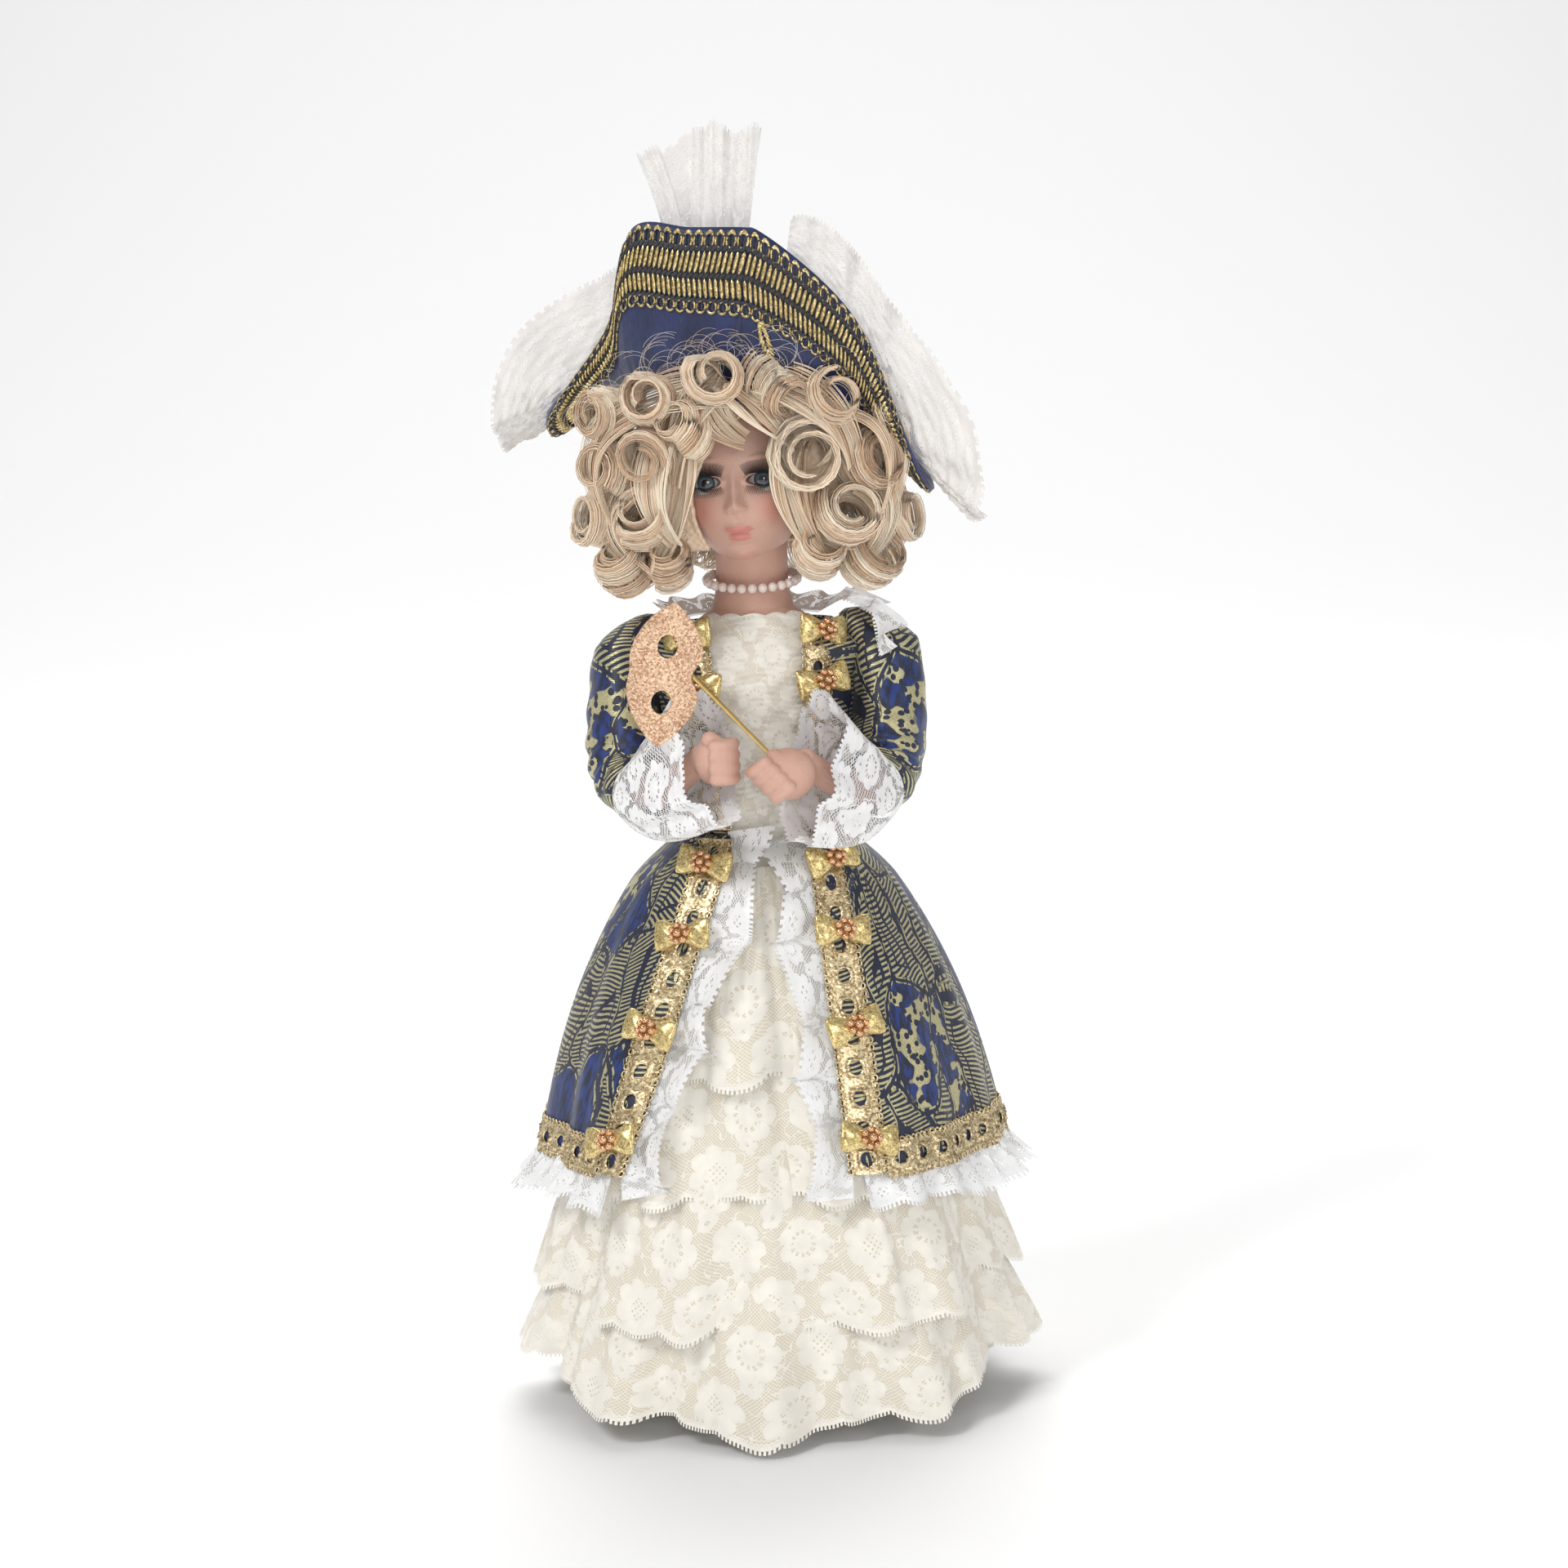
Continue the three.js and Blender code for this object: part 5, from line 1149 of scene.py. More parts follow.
def model_hand(word, palm, palm_size, grip, knuckles, inward):
    """A forearm, a palm and four fingers that curl about the grip's direction, smoothed into one clay."""
    line = ARMS[word]
    lumps = [clay_ball(palm, palm_size)]
    grip = np.array(grip) / np.linalg.norm(grip)
    inward = np.array(inward) / np.linalg.norm(inward)
    front = np.array((0, -1, 0.0))
    for finger in range(4):
        root = np.array(knuckles) + grip * (finger - 1.5) * 3.3
        for turn in np.linspace(-0.2, 2.1, 9):
            at = root + 4.6 * (front * math.cos(turn) + inward * math.sin(turn))
            lumps.append(clay_ball(at, (2.05 - 0.1 * abs(finger - 1.5),) * 3))
    for step in np.linspace(0, 1, 6):
        at = np.array(palm) + grip * (6.5 - 2 * step) + front * (3 + 3 * step) + inward * (4 * step - 1)
        lumps.append(clay_ball(at, (2.5 - 0.5 * step,) * 3))

    def wrist_place(u, v):
        t = mix(0.56, 1.12, v)
        close = np.clip(np.minimum(v, 1 - v) / 0.02, 0, 1)
        radius = np.interp(t, (0.56, 0.72, 0.97, 1.12), (5.4, 5.5, 4.1, 4.4)) * close
        return line.ring(t, 2 * math.pi * u, radius, radius)

    lumps.append(shape_cloth("forearm", 32, 40, wrist_place, (30, 40), closed=True))
    hand = join_pieces(f"forearm_and_hand_{word}", lumps)
    clay = hand.modifiers.new("clay", "REMESH")
    clay.mode = "VOXEL"
    clay.voxel_size = 0.00042
    bpy.ops.object.modifier_apply(modifier="clay")
    sanded = hand.modifiers.new("sanded", "SMOOTH")
    sanded.iterations = 7
    bpy.ops.object.modifier_apply(modifier="sanded")
    bpy.ops.object.shade_smooth()
    hand.data.materials.clear()
    dress(hand, hand_bisque, f"{word}_arm", [f"bisque_forearm_{word}"])


model_hand(
    "left", (8.6, -46.3, 196.4), (8.4, 6.8, 7.6), (-27, 4.7, 29), (5.0, -48.4, 196.6), (-0.75, 0.1, -0.65)
)
model_hand("right", (-12.6, -42.6, 200.6), (6.0, 5.6, 7.2), (0, 0, 1), (-11.4, -44.6, 200.6), (1, 0.1, 0))


# The mask is a domino of card, pointed at its ends, with glitter glued all over it, on a brass wire stick.
MASK_HALF = 21.0


def mask_place(u, v):
    x = (2 * u - 1) * MASK_HALF
    out = np.abs(x) / MASK_HALF
    full = np.clip(1 - out**2.3, 0, 1) ** 0.85
    brow = 11.2 * full - 0.9 * np.exp(-((out / 0.2) ** 2))
    cheek = -11.0 * full + 3.6 * np.exp(-((out / 0.2) ** 2))
    y = mix(cheek, brow, v)
    return x, y, 0.12 * np.sin(9.1 * x + 5 * y) * np.sin(7.3 * y - 3 * x) - 0.02 * y * y


mask = shape_cloth("glitter_mask_card", 150, 84, mask_place, (42, 23), closed=True)
thicken(mask, 1.0)
for side in (-1, 1):
    eye_middle = (side * 0.0082, 0.0004, 0)
    bpy.ops.mesh.primitive_cylinder_add(vertices=40, radius=0.001, depth=0.02, location=eye_middle)
    punch = bpy.context.active_object
    punch.scale = (3.5, 2.9, 1)
    bpy.context.view_layer.objects.active = mask
    hole = mask.modifiers.new("eye hole", "BOOLEAN")
    hole.operation = "DIFFERENCE"
    hole.object = punch
    bpy.ops.object.modifier_apply(modifier="eye hole")
    bpy.data.objects.remove(punch)
lean = (
    Matrix.Translation((-0.0255, -0.0464, 0.2265))
    @ Matrix.Rotation(0.08, 4, "X") @ Matrix.Rotation(0.1, 4, "Z")
    @ Matrix.Rotation(-math.pi / 2 + 0.16, 4, "Y") @ Matrix.Rotation(math.pi / 2, 4, "X")
)
mask.data.transform(lean)
glitter = metal_finish(
    "peach gold glitter", (0.42, 0.20, 0.10), (1.0, 0.74, 0.52), 2100.0, roughness=0.38, metallic=0.45
)
dress(mask, glitter, "mask", ["glitter_mask"])
mask.data.materials[0] = glitter

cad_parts["mask_stick"].data.materials[0] = clouded_finish(
    "brass wire", (0.52, 0.33, 0.10), (0.86, 0.62, 0.26), 900, 2, DRAWN_DOWN, roughness=0.28, metallic=0.95
)


# The head is bisque, cast in one with the neck and the shoulder plate and painted before its last firing: pink
# cheeks, coral lips, feathered brows. A glass eye is set behind each opening, and lashes are glued to the lids.
NECK_TOP = 252
HEAD_CENTRE = np.array((0, -2, 283.0))
HEAD_HALF = np.array((21, 24, 28.5))
EYE_CENTRES = {"left": (8.4, -18.6, 280.0), "right": (-8.4, -18.6, 280.0)}
head_pose = (
    Matrix.Translation((0, 0, NECK_TOP / 1000))
    @ Matrix.Rotation(-0.12, 4, "Z") @ Matrix.Rotation(-0.045, 4, "Y")
    @ Matrix.Translation((0, 0, -NECK_TOP / 1000))
)


def hump(x, z, at_x, at_z, wide, high):
    return np.exp(-(((x - at_x) / wide) ** 2) - ((z - at_z) / high) ** 2)


def both_sides(x, z, at_x, at_z, wide, high):
    return hump(x, z, at_x, at_z, wide, high) + hump(x, z, -at_x, at_z, wide, high)


def mark_points(mesh, word, amounts):
    layer = mesh.attributes.new(word, "FLOAT", "POINT")
    layer.data.foreach_set("value", amounts)


def eye_opening(x, z):
    """Below 1 inside the almond opening of either eye."""
    out = (np.abs(x) - 8.4) / 4.3
    up = z + 3.1
    lid = np.where(up > 0, 1.9, 1.5)
    return out**2 + (up / lid) ** 2 + 0.18 * out * up / lid


def head_place(u, v):
    turn = 2 * math.pi * (u - 0.5)
    turn = turn - 0.76 * np.sin(turn)
    rise = math.pi * (v - 0.5)
    rise = rise - 0.28 * np.sin(2 * rise)
    x = 21 * np.cos(rise) * np.sin(turn)
    y = -24 * np.cos(rise) * np.cos(turn)
    z = 28.5 * np.sin(rise)
    low = smooth_step(-z, 4, 26)
    x = x * (1 - 0.10 * low)
    front = smooth_step(-y, 3, 12)
    push = 2.6 * hump(x, z, 0, -10.2, 2.1, 2.3) + 1.9 * hump(x, z, 0, -6.0, 1.9, 5.0)
    push += 1.1 * both_sides(x, z, 2.3, -10.9, 1.1, 1.2) - 0.7 * both_sides(x, z, 1.1, -12.4, 0.7, 0.5)
    push += 1.3 * both_sides(x, z, 1.9, -16.8, 2.4, 1.2) + 1.5 * hump(x, z, 0, -19.8, 3.6, 1.5)
    push += 0.7 * hump(x, z, 0, -18.2, 6.0, 4.0) - 1.0 * hump(x, z, 0, -18.2, 4.6, 0.42)
    push += -0.45 * hump(x, z, 0, -14.6, 0.9, 1.6) - 0.7 * hump(x, z, 0, -22.2, 3.4, 1.0)
    push += 2.9 * hump(x, z, 0, -25.8, 5.2, 3.0) + 1.5 * both_sides(x, z, 10.5, -12.5, 5.5, 6.0)
    push += -1.9 * both_sides(x, z, 8.0, -2.6, 5.0, 4.0) + 0.6 * both_sides(x, z, 9.0, 3.6, 5.0, 1.8)
    opening = eye_opening(x, z)
    push += 1.15 * np.exp(-(((opening - 1.25) / 0.5) ** 2)) - 3.4 * (1 - smooth_step(opening, 0.86, 1.06))
    return x + HEAD_CENTRE[0], y - push * front + HEAD_CENTRE[1], z + HEAD_CENTRE[2]


head = shape_cloth("bisque_head", 230, 180, head_place, (130, 90))
rest = points_of(head.data) - HEAD_CENTRE
fx, fz = rest[:, 0], rest[:, 2]
is_front = rest[:, 1] < -4
opening = eye_opening(fx, fz)
lip_shape = hump(fx, fz, 0, -19.5, 4.0, 1.5) + 0.95 * both_sides(fx, fz, 2.1, -17.0, 2.6, 1.0)
brow_arch = 0.035 * (np.abs(fx) - 8.5) ** 2
paint = {
    "lips": smooth_step(lip_shape, 0.36, 0.62) * is_front,
    "blush": (0.85 * both_sides(fx, fz, 11.5, -11.5, 5.5, 5.0) + 0.3 * hump(fx, fz, 0, -25, 4, 2)) * is_front,
    "brows": smooth_step(both_sides(fx, fz + brow_arch, 8.6, 4.6, 4.6, 0.75), 0.35, 0.8) * is_front,
    "liner": np.exp(-(((opening - 1.04) / 0.14) ** 2)) * np.clip(0.45 + fz + 3.6, 0.25, 1) * is_front,
}
for word, amount in paint.items():
    mark_points(head.data, word, np.clip(amount, 0, 1))
on_whole_mesh(bpy.ops.mesh.remove_doubles, threshold=MERGE_DISTANCE)
head.data.transform(head_pose)

painted_and_lightened_bisque, tree = bisque_finish("painted and lightened bisque")
mottle = use_group(tree, bisque_mottle, surface_place(tree, "Object"))
# The face's bisque is painted paler than the same bisque on the neck, hands and legs. This is painted light
# that lifts the shade the hat and hair cast on the face.
colour = blend_colour(tree, mottle["Shade"], (0.68, 0.41, 0.325), (0.80, 0.54, 0.44))


def painted_mask(tree, word):
    layer = tree.nodes.new("ShaderNodeAttribute")
    layer.attribute_name = word
    return layer.outputs["Fac"]


for word, strength, pigment in (
    ("blush", 0.6, (0.78, 0.25, 0.19)), ("lips", 0.8, (0.72, 0.25, 0.21)),
    ("brows", 0.35, (0.30, 0.17, 0.10)), ("liner", 0.95, (0.03, 0.02, 0.02)),
):
    colour = blend_colour(tree, maths(tree, "MULTIPLY", painted_mask(tree, word), strength), colour, pigment)
wire_finish(tree, base_color=colour, height=mottle["Height"])
head.data.materials.append(painted_and_lightened_bisque)


def neck_place(u, v):
    theta = 2 * math.pi * (u - 0.5)
    z = mix(211.5, 266, v)
    half_width, half_depth = body_half(np.minimum(z, 241), 0)
    slim = smooth_step(z, 238, 250)
    collar_bone = 0.4 * np.exp(-(((z - 236) / 3) ** 2)) * np.cos(theta * 2.2) * (np.abs(theta) < 1.3)
    half_width = mix(half_width, 10.2, slim) + collar_bone
    half_depth = mix(half_depth, 10.0, slim) + collar_bone
    return half_width * np.sin(theta), -half_depth * np.cos(theta) - 1.2 * smooth_step(z, 250, 266), z


neck = shape_cloth("neck_and_shoulder_plate", 96, 90, neck_place, (150, 55), closed=True)
thicken(neck, 1.2)
neck.data.materials.append(hand_bisque)
bisque_head = join_pieces("bisque_head_and_plate", [head, neck])
dress(bisque_head, painted_and_lightened_bisque, "figure", ["bisque_head_and_shoulder_plate"])

blown_glass, tree = new_finish("blown glass eye", roughness=0.06, coat_weight=1.0, coat_roughness=0.03)
_, from_front = split_place(tree, surface_place(tree, "UV"))
streaks = cloudy(tree, surface_place(tree, "UV"), 2600, 2, (1, 0.12, 1))
iris = blend_colour(tree, streaks, (0.02, 0.035, 0.05), (0.12, 0.18, 0.23))
iris = blend_colour(tree, between(tree, from_front, 1.1, 1.25), (0.004, 0.004, 0.005), iris)
iris = blend_colour(tree, between(tree, from_front, 2.35, 2.55), iris, (0.02, 0.03, 0.05))
wire_finish(tree, base_color=blend_colour(tree, between(tree, from_front, 2.65, 2.8), iris, (0.62, 0.61, 0.60)))
for word, (cx, cy, cz) in EYE_CENTRES.items():
    def eye_place(u, v, centre=(cx, cy, cz)):
        swing, spoke = math.pi * v, 2 * math.pi * u
        radius = 5.2 + 0.25 * np.exp(-((swing / 0.45) ** 2))
        return (centre[0] + radius * np.sin(swing) * np.cos(spoke), centre[1] - radius * np.cos(swing),
                centre[2] + radius * np.sin(swing) * np.sin(spoke))

    eye = shape_cloth(f"glass_eye_{word}", 48, 40, eye_place, (16.3, 16.3), closed=True)
    eye.data.flip_normals()
    eye.data.transform(head_pose)
    dress(eye, blown_glass, "figure", [f"eye_{word}"])


def draw_strands(name, paths, radii, tones=None):
    """Three-sided tubes along paths of points in millimetres: all of the hair and lashes are made of them."""
    count, steps, _ = paths.shape
    forward = np.gradient(paths, axis=1)
    forward /= np.linalg.norm(forward, axis=2, keepdims=True) + 1e-9
    side = np.cross(forward, (0.31, 0.52, 0.79))
    side /= np.linalg.norm(side, axis=2, keepdims=True) + 1e-9
    over = np.cross(forward, side)
    radii = np.broadcast_to(radii, (count, steps))[:, :, None]
    thirds = (0, math.tau / 3, 2 * math.tau / 3)
    rings = [paths + radii * (math.cos(a) * side + math.sin(a) * over) for a in thirds]
    points = np.stack(rings, 2).reshape(-1, 3) / 1000
    k, s, r = np.meshgrid(np.arange(count), np.arange(steps - 1), np.arange(3), indexing="ij")
    here, next_side = (k * steps + s) * 3, (r + 1) % 3
    faces = np.stack((here + r, here + next_side, here + 3 + next_side, here + 3 + r), -1).reshape(-1, 4)
    mesh = bpy.data.meshes.new(name)
    mesh.from_pydata(points.tolist(), [], faces.tolist())
    mesh.polygons.foreach_set("use_smooth", np.ones(len(mesh.polygons), bool))
    if tones is not None:
        mark_points(mesh, "tone", np.repeat(tones, steps * 3))
    strands = bpy.data.objects.new(name, mesh)
    bpy.context.collection.objects.link(strands)
    return strands


lash_black = clouded_finish("lash black", (0.01, 0.008, 0.008), (0.04, 0.03, 0.03), 800, roughness=0.5)
lash_paths = []
for cx, _, cz in EYE_CENTRES.values():
    # up or down, how many, length, and how far the lid is from the eye's middle
    for upper, number, length, lid in ((1, 38, 3.3, 1.85), (-1, 26, 2.2, -1.5)):
        for share in np.linspace(-0.95, 0.95, number):
            x = cx + 4.0 * share
            root = np.array((x, -24.6 + 0.0315 * abs(x) ** 1.5, cz + lid * (1 - share**2) ** 0.5))
            reach = np.linspace(0, 1, 6)[:, None]
            fan = np.array((0.75 * share, -0.75, 0.75 * upper))
            lift = np.array((0, 0.25, 0.5 * upper))
            lash_paths.append(root + length * (reach * fan + reach**2 * lift))
lashes = draw_strands("lashes", np.array(lash_paths), np.linspace(0.16, 0.04, 6))
lashes.data.transform(head_pose)
dress(lashes, lash_black, "figure")


# The wig is fine blonde synthetic hair, wound wet on rods into fat barrel curls that stand round the face and
# over the ears, on a cap of combed hair. Locks fall over the forehead, and loose hairs stray over the hat.
chance = np.random.default_rng(7)

blonde_hair, tree = new_finish("blonde hair", roughness=0.34, sheen_weight=0.25)
place = surface_place(tree, "Object")
patches = cloudy(tree, place, 130, 2)
own_tone = maths(tree, "MULTIPLY", painted_mask(tree, "tone"), 0.8)
tone = maths(tree, "ADD", own_tone, maths(tree, "MULTIPLY", patches, 0.3))
deep_blonde = blend_colour(tree, between(tree, tone, 0.1, 0.5), (0.58, 0.36, 0.21), (0.93, 0.71, 0.50))
wire_finish(tree, base_color=blend_colour(tree, between(tree, tone, 0.4, 0.85), deep_blonde, (1.0, 0.90, 0.73)))


def unit(rows):
    return rows / (np.linalg.norm(rows, axis=-1, keepdims=True) + 1e-9)


def clumped(strands, clumps, scatter):
    """Where each hair lies across a lock, in its depth, and its tone: hairs cling together in clumps."""
    owner = chance.integers(0, clumps, strands)
    lane = np.linspace(-1, 1, clumps)[owner] + chance.normal(0, scatter, strands)
    depth = chance.uniform(-1, 1, clumps)[owner] * 0.6 + chance.normal(0, 0.4, strands)
    tone = np.clip(chance.normal(0.5, 0.2, clumps)[owner] + chance.normal(0, 0.16, strands), 0, 1)
    return [part[:, None, None] for part in (lane, depth)] + [tone]


def wound_curl(centre, axis, radius, width, start, turns, strands=62, steps=24):
    """Hairs that leave the scalp side by side and wind inwards about an axis."""
    axis = unit(np.array(axis, float))
    first = unit(np.cross(axis, (0.13, 0.21, 0.97)))
    second = np.cross(axis, first)
    s = np.linspace(0, 1, steps)[None, :, None]
    lane, depth, tone = clumped(strands, 11, 0.07)
    turn = start + turns * 2 * math.pi * s + 0.16 * depth + 0.25 * lane
    shrink = 1 - 0.55 * s**1.2
    ripple = 0.3 * np.sin(11 * s + 5 * lane)
    fat = radius * (1 - 0.12 * lane**2) * shrink + 1.25 * depth * (1 - 0.4 * s) + ripple
    along = lane * width / 2 * (1 - 0.2 * s) + 0.5 * np.sin(7 * s + 3 * lane)
    wound = np.array(centre) + axis * along + fat * (first * np.cos(turn) + second * np.sin(turn))
    scalp = HEAD_CENTRE + unit(np.array(centre) - HEAD_CENTRE) * 27 + axis * lane * 3
    return scalp + (wound - scalp) * smooth_step(s, -0.12, 0.2), tone


def swept_lock(knots, width, strands=90, steps=24):
    """Hairs combed side by side along a bend through four places, drawn together at the tip."""
    a, b, c, d = np.array(knots, float)
    s = np.linspace(0, 1, steps)[None, :, None]
    line = (1 - s) ** 3 * a + 3 * s * (1 - s) ** 2 * b + 3 * s**2 * (1 - s) * c + s**3 * d
    forward = unit(np.gradient(line, axis=1))
    side = unit(np.cross(forward, line - HEAD_CENTRE))
    outward = np.cross(side, forward)
    lane, depth, tone = clumped(strands, 9, 0.09)
    taper = 1 - 0.55 * s**2.5
    arch = 2.2 * (1 - lane**2)
    wave = 0.5 * np.sin(8 * s + 4 * lane)
    return line + side * (lane * width / 2 * taper + wave) - outward * (1.1 * depth + arch) * taper, tone


CURLS_BY_THE_FACE = (
    # x, y, z of the middle, the roll's axis, radius, width, start of the winding, turns
    (-8, -41, 311.5, (0.05, -1, 0.15), 9.6, 12, 4.2, 1.4),
    (-27, -36, 305.5, (-0.3, -1, 0.1), 8.8, 12, 3.6, 1.5),
    (-41, -23, 300.5, (-0.75, -0.7, 0.1), 8.6, 13, 3.0, 1.6),
    (17.5, -40, 287.5, (0.2, -1, -0.1), 12.4, 12, 2.2, 1.9),
    (9, -38, 308, (0.6, -0.6, -0.5), 8.6, 17, 3.9, 1.4),
    (25, -36, 303, (0.45, -0.85, 0.35), 10.2, 14, 2.6, 1.5),
    (39, -24, 300, (0.8, -0.6, 0.1), 9.6, 14, 2.0, 1.6),
    (-18, -38, 296, (-0.55, -0.7, 0.45), 8.4, 15, 0.6, 1.3),
    (-29, -34, 289, (-0.35, -0.9, -0.25), 9.0, 14, 1.2, 1.5),
    (-41, -24, 285, (-0.6, -0.8, 0.1), 9.4, 14, 0.4, 1.6),
    (-31, -30, 271, (-0.2, -0.85, 0.45), 9.6, 14, 5.2, 1.5),
    (-43.5, -17, 270, (-0.85, -0.5, 0.15), 9.2, 14, 4.5, 1.6),
    (-37, -23, 257, (-0.4, -0.6, 0.7), 8.8, 14, 5.0, 1.5),
    (-24, -29, 258, (-0.15, -0.7, 0.7), 7.6, 13, 5.8, 1.4),
    (36, -28, 285, (0.6, -0.75, 0.2), 10.4, 14, 3.4, 1.6),
    (29, -32, 270, (0.25, -0.9, 0.4), 10.2, 14, 4.6, 1.6),
    (43, -15, 268, (0.9, -0.4, 0.1), 9.6, 14, 5.0, 1.6),
    (21, -30, 259, (0.2, -0.75, 0.6), 8.2, 13, 4.0, 1.5),
    (36, -23, 256, (0.5, -0.65, 0.55), 9.4, 14, 4.4, 1.5),
)
LOCKS = (
    # four places along the lock, and its width
    (((-5, -38, 311), (-12, -44, 308), (-20, -40, 298), (-22, -34, 280)), 11),
    (((-4, -38, 311), (2, -45, 306), (10, -44, 298), (15, -38, 291)), 13),
    (((-9, -38, 310), (-14, -43, 305), (-9, -41, 296), (0, -35, 292)), 11),
    (((-20, -32, 300), (-19, -37, 287), (-18, -35, 274), (-26, -31, 259)), 9),
    (((-24, -33, 296), (-30, -41, 286), (-30, -41, 272), (-22, -33, 262)), 11),
    (((15, -34, 294), (7, -42, 284), (14, -38, 268), (21, -31, 256)), 9),
    (((6, -38.5, 310), (16, -45, 308), (30, -44, 300), (31, -36, 284)), 13),
    (((30, -33, 303), (46, -34, 299), (47, -30, 282), (38, -26, 266)), 12),
    (((-30, -32, 303), (-47, -31, 298), (-50, -26, 284), (-41, -24, 268)), 12),
    (((-4, -37.5, 308), (-17, -40, 310), (-31, -36, 306), (-41, -25, 297)), 14),
    (((4, -37.5, 308), (18, -40, 309), (32, -36, 305), (42, -25, 296)), 14),
    (((33, -30, 280), (44, -30, 272), (42, -27, 262), (30, -27, 254)), 11),
    (((-34, -28, 280), (-46, -28, 272), (-42, -26, 262), (-29, -28, 253)), 11),
)
ROWS_BEHIND = ((288, 38, 33, 8.8), (272, 40.5, 35, 9.4), (257, 37, 32, 8.6))
GROUP_NAMES = ("by_the_face", "at_the_temples", "over_the_forehead", "left", "right", "behind")
groups = {word: [] for word in GROUP_NAMES}
for k, (x, y, z, axis, radius, width, start, turns_wound) in enumerate(CURLS_BY_THE_FACE):
    group = "by_the_face" if k < 10 else "at_the_temples"
    groups[group].append(wound_curl((x, y, z), axis, radius, width, start, turns_wound, strands=116))
for knots, width in LOCKS:
    groups["over_the_forehead"].append(swept_lock(knots, width))
for row, (z, half_width, half_depth, radius) in enumerate(ROWS_BEHIND):
    for k in range(11):
        theta = mix(1.12, 2 * math.pi - 1.12, (k + 0.25 * (row % 2)) / 10.25)
        centre = (half_width * math.sin(theta), -half_depth * math.cos(theta) - 1, z + chance.uniform(-2, 2))
        axis = (math.cos(theta) + chance.uniform(-0.3, 0.3), math.sin(theta), chance.uniform(-0.5, 0.5))
        group = "left" if theta < 2.3 else "right" if theta > 3.98 else "behind"
        start = chance.uniform(0, 6)
        groups[group].append(wound_curl(centre, axis, radius, 15, start, 1.5, strands=56, steps=20))
for word, curls in groups.items():
    paths = np.concatenate([path for path, _ in curls])
    tones = np.concatenate([tone for _, tone in curls])
    curl_piece = draw_strands(f"hair_{word}", paths, np.linspace(0.17, 0.12, paths.shape[1]), tones)
    replaced = ["curled_wig"] if word == GROUP_NAMES[0] else ()
    dress(curl_piece, blonde_hair, "figure", replaced)


def cap_place(u, v):
    rise = mix(-0.85, 1.3, v)
    opening = mix(0.80, 0.5, smooth_step(rise, -0.5, 0.3)) * (1 - smooth_step(rise, 0.3, 0.6))
    theta = mix(opening, 2 * math.pi - opening, u)
    comb = 0.5 * np.sin(70 * theta + 6 * rise) + 1.2 * np.sin(15 * theta + 4 * rise)
    edge = smooth_step(np.minimum(theta, 2 * math.pi - theta) - opening, 0, 0.4)
    flare = 1 + (0.10 + 0.14 * smooth_step(-rise, -0.5, 0.6)) * edge
    wide, deep = 25.5 * flare + comb * 0.5, 28.0 * flare + comb * 0.5
    x = wide * np.cos(rise) * np.sin(theta)
    y = -deep * np.cos(rise) * np.cos(theta) - 1
    return x, y, 283 + 31 * np.sin(rise)


cap = shape_cloth("combed_cap", 200, 50, cap_place, (200, 80))
mark_points(cap.data, "tone", 0.42 + 0.25 * np.sin(np.arange(len(cap.data.vertices)) * 1.7))
thicken(cap, 1.4)
dress(cap, blonde_hair, "figure")

stray_paths = []
for _ in range(150):
    x = chance.uniform(-46, 48)
    round_the_head = 0.009 * x * x
    y = -44 + round_the_head + chance.uniform(-2, 3)
    root = np.array((x, y, 318 - round_the_head + chance.uniform(-6, 2)))
    s = np.linspace(0, 1, 16)[:, None]
    turn = chance.uniform(1.5, 4.2) * s + chance.uniform(0, 1.5)
    size = chance.uniform(2.5, 7)
    sideways = np.sign(chance.normal()) * (1 - np.cos(turn))
    forwards = 0.3 * chance.normal() * s
    stray_paths.append(root + size * np.concatenate((sideways, forwards, np.sin(turn)), 1))
stray_tones = chance.beta(4, 1.5, len(stray_paths))
strays = draw_strands("stray_hairs", np.array(stray_paths), np.full(16, 0.04), stray_tones)
dress(strays, blonde_hair, "figure")


# The hat is a tricorn of buckram covered with navy satin: a low round crown, and a wide brim turned up into a
# tall front panel and two wings that point down over the ears.
hat_pose = (
    Matrix.Translation((-0.001, -0.001, 0.30652))
    @ Matrix.Rotation(-0.3, 4, "Z") @ Matrix.Rotation(0.16, 4, "Y")
)
BRIM_EDGE = np.array(
    [(-28, -31, 44), (-10, -35, 46), (7, -36, 48), (9, -35.5, 48), (38, -27, 27.8), (59, -6, -16.5),
     (61, 4, -22), (42, 22, 4.8), (22, 40, 19.2), (0, 52, 9.6), (-22, 40, 19.2), (-42, 22, 4.8),
     (-59, 4, -22), (-58, -6, -16.5), (-34, -25, 15.8)]
)


def edge_place(u):
    """The brim's edge: a smooth closed line through its corners."""
    count = len(BRIM_EDGE)
    step = np.mod(u, 1) * count
    start = np.floor(step).astype(int)
    share = (step - start)[:, None]
    p0, p1, p2, p3 = (BRIM_EDGE[(start + k) % count] for k in (-1, 0, 1, 2))
    d0, d1, d2 = (np.linalg.norm(b - a, axis=1)[:, None] ** 0.5 for a, b in ((p0, p1), (p1, p2), (p2, p3)))
    out = ((p1 - p0) / d0 - (p2 - p0) / (d0 + d1) + (p2 - p1) / d1) * d1
    into = ((p2 - p1) / d1 - (p3 - p1) / (d1 + d2) + (p3 - p2) / d2) * d1
    square = -3 * p1 + 3 * p2 - 2 * out - into
    cube = 2 * p1 - 2 * p2 + out + into
    return p1 + out * share + square * share**2 + cube * share**3


